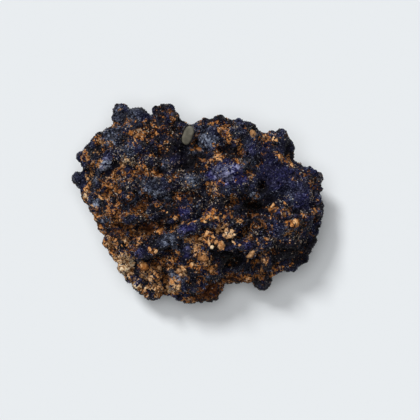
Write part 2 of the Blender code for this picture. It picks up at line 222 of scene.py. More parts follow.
# %% The knobs of the rim
# (x, y, height of the top, half length, half width) in mm
RIM_KNOBS = [
    (-39.9, 8.9, 14.5, 2.1, 2.4), (-36.6, 9.3, 14, 2.1, 2.1), (-37.8, 5.7, 13.5, 1.9, 1.9),
    (-36.6, 2.7, 13.5, 2.3, 2.3), (-33.6, -0.4, 14.5, 2.7, 2.7), (-32.3, -3.6, 15, 2.4, 2.4),
    (-31.4, -6.6, 14.5, 2.2, 2.2), (-31.2, -8.3, 13, 1.5, 1.5), (-29.4, -12.2, 15.5, 2.3, 2.3),
    (-27.6, -15.2, 14.5, 2.2, 2.2), (-26.6, -17.4, 13, 1.9, 1.9), (-24.4, -20.7, 16, 2.3, 2.3),
    (-22, -23.7, 14.5, 2, 2), (-20, -26.3, 13, 2, 2), (-18.3, -28.2, 12, 1.8, 1.8),
    (-15.5, -29.7, 11.5, 2.4, 2.4), (-13.6, -29, 11.5, 2.2, 2.6), (-10, -29, 11.5, 1.4, 1.4),
    (-8.2, -28, 12.5, 2.6, 2.6), (-5.6, -29, 13.5, 3.2, 3.2), (-2.6, -29.7, 13.5, 3.5, 3.5),
    (1, -29, 13, 3.3, 3.3), (4, -29, 12.5, 2.8, 2.8), (6.4, -27.7, 12, 2.4, 2.4), (10.4, -24, 13, 2.4, 2.4),
    (13.6, -23.7, 12.5, 2.7, 2.7), (16.6, -24, 13, 2.4, 2.4), (21.6, -25.6, 12.5, 2.8, 3.1),
    (23.4, -24.4, 14.7, 1.4, 3), (26, -21, 14, 2.6, 2.6), (29.6, -19.7, 13.5, 2.6, 2.6),
    (32.2, -19, 13.5, 2.4, 2.4), (34.6, -17.4, 13.5, 2.3, 2.3), (36, -14.4, 14, 2.3, 2.3),
    (37, -11.4, 15, 2.6, 2.6), (38.2, -8.4, 15.5, 2.1, 2.1), (38.7, -5.7, 16, 2.3, 2.3),
    (39, -2.7, 16.5, 2.7, 2.7), (39.5, 0.3, 16.5, 2.5, 2.5), (39, 2.7, 17, 2.1, 2.1),
    (39.3, 5.3, 17, 1.9, 1.9), (39.7, 9, 16, 1.9, 1.9), (38, 9.9, 17, 2, 2), (36.9, 12.2, 15.5, 1.2, 1.2),
    (35.3, 11, 17.5, 1.8, 1.8), (33, 12.4, 17, 1.8, 1.8), (29.7, 16.3, 18.5, 2.4, 2.4),
    (29.4, 19, 20, 2.7, 2.7), (28.6, 20.8, 19.5, 2.1, 2.1), (27.6, 22.6, 20.5, 2.4, 2.4),
    (24.4, 22.1, 19.5, 2.6, 2.6), (22.4, 21.8, 19, 2.1, 2.1), (17.7, 24.6, 20, 2.4, 2.4),
    (16, 25.3, 21, 2.6, 2.6), (13.4, 25.7, 21.5, 2.8, 2.8), (10.6, 25.4, 20.5, 2.8, 2.8),
    (7.3, 27.2, 19, 2.6, 2.6), (5.3, 26.1, 18.5, 2.4, 2.4), (2.5, 27.2, 17, 1.6, 1.6),
    (0.6, 25.2, 18.5, 2.5, 2.5), (-2.4, 24.7, 17.5, 2.3, 2.3), (-5, 25.5, 19.5, 2.4, 2.4),
    (-7.2, 28.1, 20.5, 2, 2), (-9.3, 31.2, 20, 2.3, 2.3), (-11.4, 31.2, 19.5, 2.1, 2.1),
    (-13.2, 31, 18.5, 1.8, 1.8), (-19.9, 28.2, 21.5, 4.2, 4.1), (-24.4, 31.2, 18.5, 1.9, 1.9),
    (-25.6, 31, 19, 2.4, 2.4), (-26, 28.4, 18.5, 2.3, 2.3), (-27.2, 24.6, 19, 2, 2),
    (-29.1, 23.2, 18.5, 2.5, 2.5), (-31.6, 22, 18.5, 2.3, 2.3), (-33.2, 20.8, 18, 2, 2),
    (-34.3, 19, 17, 2.2, 2.2), (-36.6, 17, 16.5, 2.2, 2.2), (-38.3, 16, 15.5, 2, 2),
    (-37.3, 14, 15.5, 2, 2), (-36.6, 12.7, 15, 1.6, 1.6),
]
RIM_SHIFT = 0.3  # mm towards the front, because the packed model was centred after its rim was drawn
RIM_SWELL = 0.1  # mm that each knob gains, because smoothing and the inset take as much
print(len(RIM_KNOBS), "knobs stand along the rim")


# %% The fine skin
SKIN_VOXEL = 0.47 * MM
SMOOTHING_ROUNDS = 3
WELD = 0.001 * MM


def cover_evenly(subject, voxel, rounds):
    """Gives a faceted copy one even, fine and soft mesh."""
    remesh = subject.modifiers.new("even cover", "REMESH")
    remesh.mode = "VOXEL"
    remesh.voxel_size = voxel
    smooth = subject.modifiers.new("no facets", "SMOOTH")
    smooth.iterations = rounds
    smooth.factor = 0.5
    bake_modifiers(subject)


skin = new_object("azurite_skin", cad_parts["azurite_cluster"].data.copy())
welding = bmesh.new()
welding.from_mesh(skin.data)
bmesh.ops.remove_doubles(welding, verts=welding.verts, dist=WELD)
for x, y, top, length, width in RIM_KNOBS:
    height = min(length, width)
    sizes = [(side + RIM_SWELL) * MM for side in (length, width, height)]
    middle = Vector((x, round(y - RIM_SHIFT, 1), top - height)) * MM
    shaping = Matrix.Translation(middle) @ Matrix.Diagonal((*sizes, 1.0))
    bmesh.ops.create_icosphere(welding, subdivisions=3, radius=1.0, matrix=shaping)
welding.to_mesh(skin.data)
welding.free()
cover_evenly(skin, SKIN_VOXEL, SMOOTHING_ROUNDS)
print("the skin has", triangles(skin.data), "triangles")


# %% [markdown]
# ## Deeper relief
# The packed solid keeps its relief shallow enough to be printed and handled. On the specimen the lumps
# stand out more and the clefts between them are deeper. Blurring the skin's own positions gives its general
# form, and the difference from that form is its relief: the tree stores it as "hollow" and adds a part of
# it again.

# %% The tree of relief
BLUR_ROUNDS = 60
MORE_RELIEF = 1.1
SIDEWAYS = 0.3  # the relief grows less sideways, so that the outline stays
INSET = 0.25 * MM  # room for the knobs and grains that will stand on the skin
ABOVE_RIM = (9.0, 17.0)  # mm over the base, where the deepening begins and is full
FACING_UP = (0.0, 0.6)  # of the normal's height, where the deepening begins and is full
OFF_BASE = (0.2, 1.5)  # mm over the base, where the inset begins and is full

relief = Recipe(
    "deeper_relief", "GeometryNodeTree",
    inputs=[("Skin", "NodeSocketGeometry", None), ("More", "NodeSocketFloat", 0.5),
            ("Inset", "NodeSocketFloat", 0.0)],
    outputs=[("Skin", "NodeSocketGeometry")],
)
position = relief.add("GeometryNodeInputPosition").outputs[0]
normal = relief.add("GeometryNodeInputNormal").outputs[0]
blur = relief.add("GeometryNodeBlurAttribute", {"data_type": "FLOAT_VECTOR"}, Iterations=BLUR_ROUNDS)
relief.feed(next(socket for socket in blur.inputs if socket.name == "Value" and socket.enabled), position)
general = next(socket for socket in blur.outputs if socket.enabled)
away = relief.vector("SUBTRACT", position, general)
facing = relief.add("ShaderNodeSeparateXYZ", Vector=normal).outputs["Z"]
raised = relief.add("ShaderNodeSeparateXYZ", Vector=position).outputs["Z"]
upper = relief.math("MULTIPLY", relief.smooth_step(facing, *FACING_UP),
                    relief.smooth_step(raised, *(height * MM for height in ABOVE_RIM)))
mostly_up = relief.vector("MULTIPLY", away, (SIDEWAYS, SIDEWAYS, 1.0))
more = relief.vector("SCALE", mostly_up, scale=relief.math("MULTIPLY", upper, relief.given["More"]))
off_base = relief.smooth_step(raised, *(height * MM for height in OFF_BASE))
inset = relief.math("MULTIPLY", relief.math("MULTIPLY", relief.given["Inset"], off_base), -1.0)
moved = relief.add("GeometryNodeSetPosition", Geometry=relief.given["Skin"],
                   Offset=relief.vector("ADD", more, relief.vector("SCALE", normal, scale=inset)))
depth = relief.add("ShaderNodeVectorMath", {"operation": "DOT_PRODUCT"})
relief.feed(depth.inputs[0], away)
relief.feed(depth.inputs[1], normal)
hollow = relief.math("DIVIDE", depth.outputs["Value"], -MM)
stored = relief.add("GeometryNodeStoreNamedAttribute", {"data_type": "FLOAT", "domain": "POINT"},
                    Geometry=relief.given["Skin"], Name="hollow", Value=hollow)
relief.feed(moved.inputs["Geometry"], stored.outputs["Geometry"])
relief.feed(relief.result["Skin"], moved.outputs["Geometry"])

add_tree(skin, relief, More=MORE_RELIEF, Inset=INSET)
bake_modifiers(skin)


hollow_now = read(skin.data, "hollow")
print("depth of the hollows in mm, at five shares of the skin:",
      np.percentile(hollow_now, (1, 25, 50, 75, 99)).round(2))


# %% [markdown]
# ## Where each finish lies
# The specimen's patches are its map: orange clay, dark rust, cream clay, violet and slate-blue azurite,
# painted shade on hollows and shaded places, calm skin without knobs, speckled places, and bare azurite where
# no clay lies. They could be painted, but then the script would need an image. Here each is a soft ellipse on
# a plan of the upper side: (across, down, half length, half width, turn, strength). A step of the plan is a
# third of a millimetre, counted from its upper left corner, turns are in degrees, and a strength over 1 makes
# the middle brighter; for cream, violet and slate some of these strengths are painted light, on spots that
# the relief leaves in shade. The rows were typed and corrected in many rounds, and a helper script took out
# those that changed almost nothing.

# %% The patches
CLAY_PATCHES = [
    (139, 134, 7, 5, 0, 0.95), (150, 128, 4, 5, 0, 0.7), (133, 125, 5, 3, 0, 0.4), (117, 123, 4, 4, 0, 0.6),
    (122, 109, 4, 3, 0, 0.5), (98, 138, 9, 4, -35, 0.9), (110, 143, 6, 2.5, -35, 0.7),
    (86, 155, 6, 6, 0, 0.8), (95, 165, 5, 5, 0, 0.65), (91, 177, 4, 10, 0, 0.7), (106, 176, 4, 5, 0, 0.6),
    (108, 190, 10, 9, 0, 0.95), (118, 175, 5, 8, 0, 0.8), (123, 165, 6, 5, 0, 0.7),
    (142, 170, 10, 5, 0, 0.75), (128, 178, 5, 5, 0, 0.65), (103, 197, 6, 2, 0, 0.6),
    (85, 195, 5, 6, 0, 0.75), (92, 207, 4, 5, 0, 0.65), (108, 210, 9, 9, 0, 0.75),
    (120, 215, 6, 8, 0, 0.75), (130, 197, 7, 5, 0, 0.65), (98, 224, 4, 6, 0, 0.6),
    (106, 240, 7, 9, -20, 0.95), (118, 244, 9, 9, 0, 0.85), (130, 237, 9, 6, 0, 0.7),
    (130, 267, 8, 8, 0, 0.95), (146, 264, 6, 6, 0, 1), (158, 285, 7, 7, 0, 0.95),
    (142, 287, 5, 6, 35, 0.75), (146, 293, 5, 5, 0, 0.8), (173, 281, 8, 8, 0, 1), (168, 277, 4, 6, 0, 0.8),
    (184, 267, 7, 6, 0, 0.9), (172, 262, 8, 5, 30, 0.7), (178, 250, 4, 5, 0, 0.6), (154, 249, 6, 3, 8, 1),
    (163, 228, 5, 6, 0, 0.8), (160, 205, 8, 6, 0, 0.65), (176, 216, 3, 4, 20, 0.6),
    (177, 197, 5, 2, 0, 0.7), (190, 195, 6, 4, 0, 0.5), (188, 183, 4, 4, 0, 0.5), (182, 222, 8, 3, 0, 0.4),
    (167, 143, 2, 2, 0, 0.7), (163, 130, 5, 5, 0, 0.5), (173, 122, 4, 3, 0, 0.6), (171, 112, 5, 6, 0, 0.45),
    (160, 121, 8, 5, 0, 0.35), (158, 145, 6, 5, 0, 0.4), (172, 135, 4, 6, 0, 0.4), (155, 158, 5, 4, 0, 0.3),
    (158, 174, 9, 4, 0, 0.65), (177, 174, 6, 4, 0, 0.5), (128, 274, 6, 6, 0, 0.9), (205, 118, 2, 2, 0, 0.7),
    (222, 130, 6, 6, 0, 0.8), (231, 124, 4, 7, 0, 0.55), (218, 122, 6, 4, 0, 0.5), (217, 157, 7, 6, 0, 0.9),
    (240, 148, 4, 7, 0, 0.7), (243, 155, 3, 4, 0, 0.7), (264, 138, 6, 4, 0, 0.7), (275, 136, 6, 3, 0, 0.3),
    (277, 157, 6, 3.2, -30, 1.15), (289, 164, 6, 3.2, -45, 1.15), (297, 170, 5, 4, 0, 0.6),
    (310, 183, 4, 3, 0, 0.6), (316, 186, 4, 4, 0, 0.55), (213, 187, 6, 6, 0, 0.75),
    (217, 194, 4, 4, 0, 0.7), (232, 197, 3, 5, 0, 0.7), (232, 203, 4, 3, 0, 0.5), (213, 214, 10, 6, 15, 1),
    (225, 225, 6, 4, 35, 0.95), (207, 236, 9, 7, 0, 0.9), (220, 244, 6, 5, 0, 0.95),
    (233, 242, 7, 3, -10, 0.85), (196, 246, 5, 6, 0, 1), (229, 231, 7, 6, 0, 1), (206, 255, 7, 9, 40, 0.95),
    (192, 262, 7, 6, 0, 0.9), (212, 268, 6, 5, 0, 0.9), (259, 222, 5, 5, 0, 0.8), (247, 235, 3, 6, 0, 0.6),
    (271, 206, 4, 4, 0, 0.7), (283, 205, 2, 5, 0, 0.6), (286, 212, 4, 6, 0, 0.7), (293, 222, 7, 6, 0, 1),
    (287, 238, 5, 4, 0, 0.5), (249, 253, 5, 4, 0, 1), (304, 212, 5, 3, 0, 0.6), (313, 210, 5, 5, 0, 0.5),
    (304, 223, 4, 5, 0, 0.4), (262, 257, 6, 5, -40, 0.7), (260, 274, 7, 5, 0, 0.75),
    (243, 272, 6, 5, 0, 0.75), (230, 275, 7, 5, 0, 0.75), (256, 264, 5, 5, 0, 0.6),
    (274, 268, 5, 5, 0, 0.6), (289, 262, 4, 4, 0, 0.45), (265, 240, 4, 6, -30, 0.6),
    (210, 289, 12, 9, 15, 0.9), (200, 297, 8, 4, 0, 0.7), (218, 262, 4, 4, 0, 0.4),
    (188, 275, 4, 5, 0, 0.5), (98, 151, 5, 4, 0, 0.85), (124, 170, 6, 8, 0, 0.9), (118, 193, 6, 9, 0, 0.9),
    (132, 212, 12, 4, 0, 0.85), (120, 232, 8, 5, 0, 0.9), (150, 228, 8, 7, 0, 0.9),
    (111, 249, 6, 5, 0, 0.9), (155, 265, 8, 9, 0, 0.8), (170, 257, 6, 4, 0, 0.9), (198, 266, 6, 6, 0, 0.9),
    (165, 291, 5, 4, 0, 0.9), (235, 280, 18, 3, 0, 0.75), (192, 299, 9, 4, 0, 0.8),
    (208, 160, 7, 4, 0, 0.9), (228, 137, 5, 8, 0, 0.9), (215, 124, 8, 3, 0, 0.7), (236, 162, 7, 4, 0, 0.8),
    (250, 199, 9, 4, 0, 0.6), (239, 218, 5, 6, 0, 0.8), (252, 226, 5, 6, 0, 0.8), (172, 180, 5, 4, 0, 0.8),
    (165, 206, 4, 8, 0, 0.75), (273, 217, 6, 3, 0, 0.5), (286, 222, 6, 4, 0, 0.7), (168, 130, 7, 5, 0, 0.6),
    (195, 133, 5, 6, 0, 0.5), (147, 215, 7, 3, 0, 0.7), (175, 228, 7, 5, 0, 0.6), (262, 250, 4, 7, 0, 0.6),
    (300, 172, 6, 4, 0, 0.6), (120, 256, 7, 9, -35, 1), (158, 276, 6, 6, 0, 0.9), (172, 257, 6, 4, 0, 0.95),
    (245, 278, 10, 4, 0, 0.95), (223, 285, 5, 6, 0, 0.9), (133, 176, 3, 8, 0, 0.9),
    (172, 178, 6, 4, 0, 0.9), (168, 208, 4, 8, 0, 0.85), (96, 216, 5, 6, 0, 0.9), (88, 188, 4, 6, 0, 0.8),
    (250, 212, 5, 5, 0, 0.8), (226, 208, 4, 5, 0, 0.7), (281, 213, 4, 5, 0, 0.8), (160, 290, 5, 8, 0, 0.9),
    (130, 222, 12, 6, 0, 0.85), (165, 148, 6, 4, 0, 0.5), (148, 140, 6, 4, 0, 0.4),
    (126, 258, 9, 9, -20, 1.25), (108, 240, 5, 6, 0, 1.1), (152, 270, 9, 8, 0, 1.1),
    (174, 282, 8, 8, 0, 1.15), (200, 276, 6, 6, 0, 0.95), (132, 242, 6, 7, 0, 1.05),
    (113, 203, 5, 4, 0, 0.9), (145, 204, 5, 5, 0, 0.9), (135, 172, 6, 5, 0, 0.95), (154, 127, 5, 7, 0, 0.9),
    (98, 143, 6, 5, 0, 0.85), (216, 157, 4, 9, 0, 0.9), (303, 215, 5, 4, 0, 0.8), (222, 128, 5, 5, 0, 0.9),
    (271, 140, 5, 3, 0, 0.9), (129, 162, 6, 3, 0, 0.8), (120, 205, 5, 4, 0, 0.8), (137, 233, 7, 4, 0, 1.1),
    (196, 238, 6, 4, 0, 1.1), (205, 262, 5, 5, 0, 1.1), (263, 262, 4, 9, -15, 1),
    (105, 139, 6, 4, -35, 1.1), (246, 141, 3, 4, 0, 0.8), (120, 268, 5, 7, 0, 1.3), (200, 264, 6, 5, 0, 1),
    (115, 125, 5, 4, 0, 0.7), (135, 120, 6, 4, 0, 0.7), (160, 135, 4, 4, 0, 0.6), (193, 147, 3, 5, 0, 0.4),
    (102, 163, 4, 7, 0, 0.8), (228, 215, 6, 3.5, 35, 0.6), (138, 245, 4, 6, 0, 1), (152, 276, 5, 5, 0, 1),
    (175, 290, 5, 5, 0, 1), (287, 227, 7, 6, 0, 0.6), (304, 175, 6, 3, 0, 0.5), (293, 178, 4, 5, 0, 0.6),
    (230, 165, 5, 4, 0, 0.5), (248, 175, 5, 5, 0, 0.6), (221, 225, 5, 6, 0, 1), (190, 239, 6, 4, 0, 0.9),
    (241, 250, 6, 4, 0, 0.5), (236, 145, 4, 3, 0, 0.7), (251, 137, 3, 3, 0, 0.6), (206, 242, 4, 4, 0, 0.7),
    (159, 203, 4, 4, 0, 0.9), (120, 220, 9, 6, 0, 0.95), (112, 223, 7, 5, 0, 0.8),
    (118, 262, 5, 9, -30, 1.3), (112, 246, 5, 5, 0, 1), (286, 160, 4, 6, 0, 0.8), (146, 274, 6, 5, 0, 1),
    (182, 268, 6, 4, 0, 0.9), (272, 274, 5, 4, 0, 0.8), (147, 124, 4, 5, 0, 0.7), (141, 137, 6, 4, 0, 0.8),
    (128, 126, 5, 3, 0, 0.7), (106, 161, 3, 5, 0, 0.7), (130, 201, 5, 5, 0, 0.8), (140, 210, 6, 6, 0, 0.8),
    (145, 190, 4, 4, 0, 0.6), (103, 228, 4, 4, 0, 0.8), (214, 292, 9, 6, 0, 1), (204, 281, 5, 4, 0, 0.8),
    (204, 219, 5, 4, 0, 0.9), (285, 232, 4, 5, 0, 0.8), (262, 222, 4, 4, 0, 0.7), (201, 122, 4, 4, 0, 0.7),
    (215, 145, 4, 4, 0, 0.8), (172, 118, 5, 5, 0, 0.6), (166, 218, 5, 4, 0, 0.8), (141, 238, 5, 4, 0, 1.3),
    (262, 256, 4, 5, 0, 0.9), (184, 273, 4, 4, 0, 0.9), (96, 204, 4, 4, 0, 0.9), (116, 212, 5, 5, 0, 0.9),
    (207, 168, 4, 5, 0, 0.6), (147, 286, 5, 4, 0, 1), (165, 166, 5, 3, 0, 0.9), (148, 172, 4, 4, 0, 0.8),
    (124, 199, 4, 5, 0, 0.8), (136, 208, 7, 5, 0, 0.8), (181, 196, 6, 5, 0, 0.9),
    (272, 208, 4, 7, -20, 0.9), (250, 140, 5, 3, 0, 0.7), (196, 142, 4, 5, 0, 0.6),
    (201, 150, 4, 4, 0, 0.8), (160, 270, 4, 5, 0, 0.9), (176, 287, 7, 5, 0, 0.95),
    (209, 295, 8, 5, 0, 0.95), (244, 230, 4, 5, 0, 0.7), (222, 181, 4, 4, 0, 0.6), (256, 194, 4, 4, 0, 0.6),
    (112, 240, 4, 7, -20, 0.95), (120, 250, 5, 7, -20, 0.95), (134, 280, 6, 5, 0, 0.8),
    (150, 260, 5, 4, 0, 0.7), (158, 168, 6, 4, 0, 0.6), (148, 190, 3, 8, 0, 0.5), (155, 247, 5, 3, 0, 0.6),
    (292, 172, 5, 4, 0, 0.5), (187, 234, 4, 4, 0, 0.55), (200, 148, 4, 4, 0, 0.8), (220, 210, 4, 5, 0, 0.7),
    (197, 138, 3, 5, 0, 0.7),
]
RUST_PATCHES = [
    (150, 224, 6, 9, 0, 1), (145, 200, 6, 5, 0, 0.7), (210, 289, 12, 9, 15, 1), (200, 297, 8, 4, 0, 0.8),
    (230, 276, 7, 5, 0, 0.5), (230, 203, 5, 4, 0, 0.5), (190, 195, 9, 5, 0, 0.5), (173, 122, 4, 3, 0, 0.5),
    (136, 205, 9, 6, 0, 0.5), (120, 225, 14, 6, 0, 0.5), (128, 190, 8, 6, 0, 0.4),
    (252, 215, 5, 9, 20, 0.7), (165, 224, 9, 6, 0, 0.4), (92, 164, 5, 5, 0, 0.3), (120, 195, 4, 8, 0, 0.5),
    (228, 203, 6, 5, 0, 0.4), (245, 232, 4, 7, 0, 0.6), (155, 262, 6, 6, 0, 0.3), (172, 112, 6, 6, 0, 0.4),
    (258, 205, 8, 6, 0, 0.5), (125, 180, 10, 8, 0, 0.35), (112, 190, 8, 8, 0, 0.3),
    (165, 292, 5, 4, 0, 0.3), (122, 222, 10, 8, 0, 0.4), (218, 282, 8, 5, 0, 0.7), (197, 272, 6, 5, 0, 0.3),
    (149, 271, 5, 4, 0, 0.7), (214, 292, 9, 6, 0, 0.8), (118, 232, 6, 5, 0, 0.5), (135, 265, 7, 5, 0, 0.4),
    (128, 168, 5, 4, 0, 0.4), (160, 165, 5, 4, 0, 0.4), (145, 190, 5, 4, 0, 0.4), (148, 262, 6, 4, 0, 0.35),
    (110, 238, 4, 5, 0, 0.25), (200, 149, 4, 3, 0, 0.3),
]
CREAM_PATCHES = [
    (119, 262, 7, 9, -35, 0.45), (134, 284, 4, 5, 0, 0.9), (127, 272, 5, 5, 0, 0.6), (229, 231, 7, 6, 0, 1),
    (220, 244, 4, 4, 0, 0.6), (196, 246, 4, 5, 0, 0.7), (206, 256, 7, 8, 40, 0.35),
    (253, 136, 4, 6, 30, 0.8), (110, 143, 6, 3, -35, 0.5), (104, 158, 3, 7, 0, 0.4),
    (158, 285, 7, 6, 0, 0.5), (140, 283, 4, 8, 35, 0.6), (249, 253, 5, 4, 0, 0.9), (161, 267, 3, 3, 0, 0.6),
    (175, 282, 6, 5, 0, 0.5), (291, 163, 4, 3, 0, 0.3), (233, 242, 6, 2, -10, 0.4),
    (122, 109, 3, 3, 0, 0.5), (183, 266, 4, 4, 0, 0.35), (86, 194, 4, 4, 0, 0.5), (135, 163, 5, 3, 0, 0.4),
    (188, 183, 3, 3, 0, 0.5), (92, 176, 5, 5, 0, 0.8), (213, 187, 5, 5, 0, 0.35), (225, 225, 5, 3, 35, 0.3),
    (222, 130, 4, 4, 0, 0.25), (126, 258, 8, 8, -20, 0.6), (150, 273, 7, 6, 0, 0.6),
    (174, 272, 8, 6, 0, 0.35), (170, 284, 6, 6, 0, 0.3), (110, 240, 4, 6, 0, 0.4), (100, 152, 4, 4, 0, 0.4),
    (105, 139, 6, 4, -35, 0.3), (263, 262, 4, 8, -15, 0.35), (95, 201, 4, 5, 0, 0.5),
    (190, 239, 6, 4, 0, 0.5), (122, 180, 4, 4, 0, 0.3), (142, 280, 6, 7, -50, 0.8),
    (245, 142, 5, 4, 0, 0.3), (200, 241, 5, 3, 0, 0.5), (106, 142, 6, 4, -35, 0.4),
    (286, 231, 5, 5, 0, 0.5), (116, 244, 5, 4, 0, 0.4), (128, 238, 4, 4, 0, 0.4), (143, 236, 3, 5, 0, 0.3),
    (128, 163, 7, 4, 0, 0.9), (171, 288, 5, 4, 0, 0.9), (186, 272, 5, 5, 0, 0.6), (146, 286, 4, 4, 0, 0.7),
    (252, 195, 4, 3, 0, 0.4), (262, 257, 4, 5, 0, 0.3), (141, 238, 4, 4, 0, 0.3), (244, 140, 5, 3, 0, 0.4),
    (218, 228, 5, 5, 0, 0.5), (95, 178, 4, 5, 0, 0.5), (148, 262, 5, 4, 0, 0.3), (134, 279, 7, 6, 0, 0.7),
    # The next cream patches, of strength over 1.5, are partly painted light on a slope of the crust that
    # faces away from the lamps.
    (124, 267, 7, 7, -35, 1.6), (133, 262, 4, 5, 0, 2.4), (122, 252, 3, 4, 0, 0.5),
    (134, 262, 4, 5, 0, 2.6),
]
VIOLET_PATCHES = [
    (221, 171, 14, 7, 12, 1), (238, 178, 8, 7, 0, 0.65), (213, 176, 8, 4, 0, 0.6), (228, 164, 5, 4, 0, 0.6),
    (213, 134, 6, 5, 0, 0.4), (210, 146, 6, 4, 0, 0.5), (185, 212, 6, 6, 0, 0.65),
    (187, 227, 9, 4, 15, 0.6), (249, 148, 5, 6, 0, 0.4), (242, 127, 4, 8, 0, 0.4),
    (283, 180, 26, 16, -35, 0.28), (298, 198, 12, 10, 0, 0.42), (291, 190, 3, 9, 0, 0.5),
    (275, 228, 10, 7, 0, 0.3), (279, 210, 4, 5, 0, 0.6), (138, 252, 8, 5, 0, 0.4), (188, 250, 5, 9, 0, 0.3),
    (132, 146, 4, 5, 0, 0.6), (178, 160, 8, 6, 0, 0.15), (246, 243, 7, 5, 0, 0.35),
    (262, 150, 7, 8, 0, 0.25), (170, 295, 7, 3, 0, 0.4), (108, 162, 4, 8, -15, 0.95),
    (228, 172, 6, 5, 0, 1), (222, 135, 5, 6, 0, 0.3), (205, 210, 6, 4, 0, 0.3), (170, 187, 6, 4, 0, 0.2),
    (219, 176, 8, 7, 0, 1), (228, 179, 6, 5, 0, 1.15), (236, 168, 5, 4, 0, 1), (276, 190, 5, 4, 0, 0.5),
    (136, 280, 4, 5, -50, 0.9), (206, 142, 7, 7, 0, 0.35),
]
SLATE_PATCHES = [
    (203, 146, 6, 7, 0, 1.05), (108, 161, 4, 9, -15, 0.4), (131, 150, 6, 8, 0, 0.75),
    (128, 155, 8, 5, 0, 0.5), (180, 275, 7, 4, -30, 0.6), (190, 178, 12, 5, 0, 0.7),
    (154, 187, 6, 8, 0, 0.7), (97, 203, 6, 4, 0, 0.6), (78, 178, 7, 8, 0, 0.3), (120, 113, 8, 8, 0, 0.5),
    (136, 114, 8, 8, 0, 0.7), (170, 237, 10, 6, 30, 0.8), (208, 275, 5, 3, 0, 0.5),
    (276, 139, 5, 6, 0, 0.35), (115, 135, 8, 6, 0, 0.5), (165, 185, 8, 5, 0, 0.4),
    (222, 169, 10, 5, 15, 0.6), (102, 218, 4, 6, 0, 0.4), (145, 185, 5, 6, 0, 0.5),
    (207, 195, 5, 12, -20, 0.3), (196, 125, 5, 5, 0, 0.4), (276, 228, 10, 6, 0, 0.35),
    (292, 195, 8, 12, -20, 0.3), (240, 122, 8, 6, 0, 0.3), (280, 207, 4, 4, 0, 0.5),
    (204, 131, 10, 4, 0, 0.6), (168, 285, 3, 4, 0, 0.6), (195, 138, 6, 8, 0, 0.5), (132, 184, 4, 5, 0, 0.4),
    (190, 240, 8, 4, 0, 0.5), (125, 160, 4, 4, 0, 0.4), (120, 118, 6, 8, 0, 0.6), (210, 145, 6, 6, 0, 0.7),
    (220, 140, 5, 6, 0, 0.6), (192, 184, 8, 4, 0, 0.7), (218, 182, 6, 5, 0, 0.4), (282, 232, 8, 5, 0, 0.4),
    (290, 198, 3, 6, 0, 0.8), (286, 188, 6, 8, -20, 0.35), (157, 193, 9, 4, 0, 1.15),
    (136, 199, 4, 6, 0, 0.8), (106, 220, 6, 5, 0, 0.8), (186, 239, 5, 3, 0, 1), (177, 274, 7, 5, -30, 1),
    (288, 229, 9, 5, 0, 0.7), (275, 193, 9, 4, 0, 0.5), (130, 126, 9, 3, 0, 0.8), (100, 160, 5, 7, 0, 0.4),
    (117, 128, 6, 5, 0, 0.8), (98, 171, 4, 4, 0, 0.6), (96, 202, 4, 5, 0, 1.2), (110, 221, 6, 4, 0, 0.7),
    (180, 250, 4, 4, 0, 0.5), (254, 195, 7, 4, 0, 1.2), (110, 141, 6, 5, 0, 0.8), (128, 204, 6, 5, 0, 0.5),
    (229, 177, 3, 3, 0, 0.6), (133, 125, 8, 4, 0, 0.6), (104, 168, 4, 5, 0, 1), (196, 183, 7, 5, 0, 0.95),
    (190, 150, 5, 5, 0, 0.7), (216, 143, 4, 5, 0, 0.9), (145, 191, 5, 4, 0, 0.9), (134, 205, 5, 5, 0, 0.7),
    (200, 214, 3, 6, 0, 0.7), (242, 150, 4, 4, 0, 0.7), (245, 265, 6, 4, 0, 0.4), (120, 110, 5, 4, 0, 0.8),
    (165, 166, 5, 4, 0, 0.85), (238, 133, 5, 4, 0, 0.6), (138, 280, 3, 4, 0, 0.6), (112, 133, 6, 4, 0, 0.9),
    (246, 143, 4, 4, 0, 0.6), (178, 250, 4, 5, 0, 0.8), (282, 192, 8, 4, 10, 0.6), (205, 142, 8, 9, 0, 1),
    (112, 143, 8, 5, 0, 0.9), (95, 178, 4, 5, 0, 0.7), (126, 180, 8, 4, 0, 0.6), (144, 178, 5, 4, 0, 0.7),
    (168, 197, 6, 3, 0, 1.1), (196, 186, 5, 4, 0, 0.95), (200, 207, 3, 5, 0, 1), (242, 165, 5, 8, 0, 0.5),
    (252, 138, 5, 3, 0, 0.5), (175, 243, 4, 6, 0, 1), (189, 237, 6, 3, 0, 1.1), (292, 210, 5, 4, 0, 0.5),
    (275, 207, 4, 5, 0, 0.5), (242, 270, 5, 5, 0, 0.6), (228, 190, 5, 5, 0, 0.5), (108, 167, 3, 6, 0, 1.1),
    (252, 165, 4, 6, 0, 0.8), (211, 136, 10, 6, -20, 0.75), (220, 131, 5, 5, 0, 0.6),
    (109, 165, 4, 6, 0, 1.2), (95, 172, 5, 5, 0, 0.5),
]
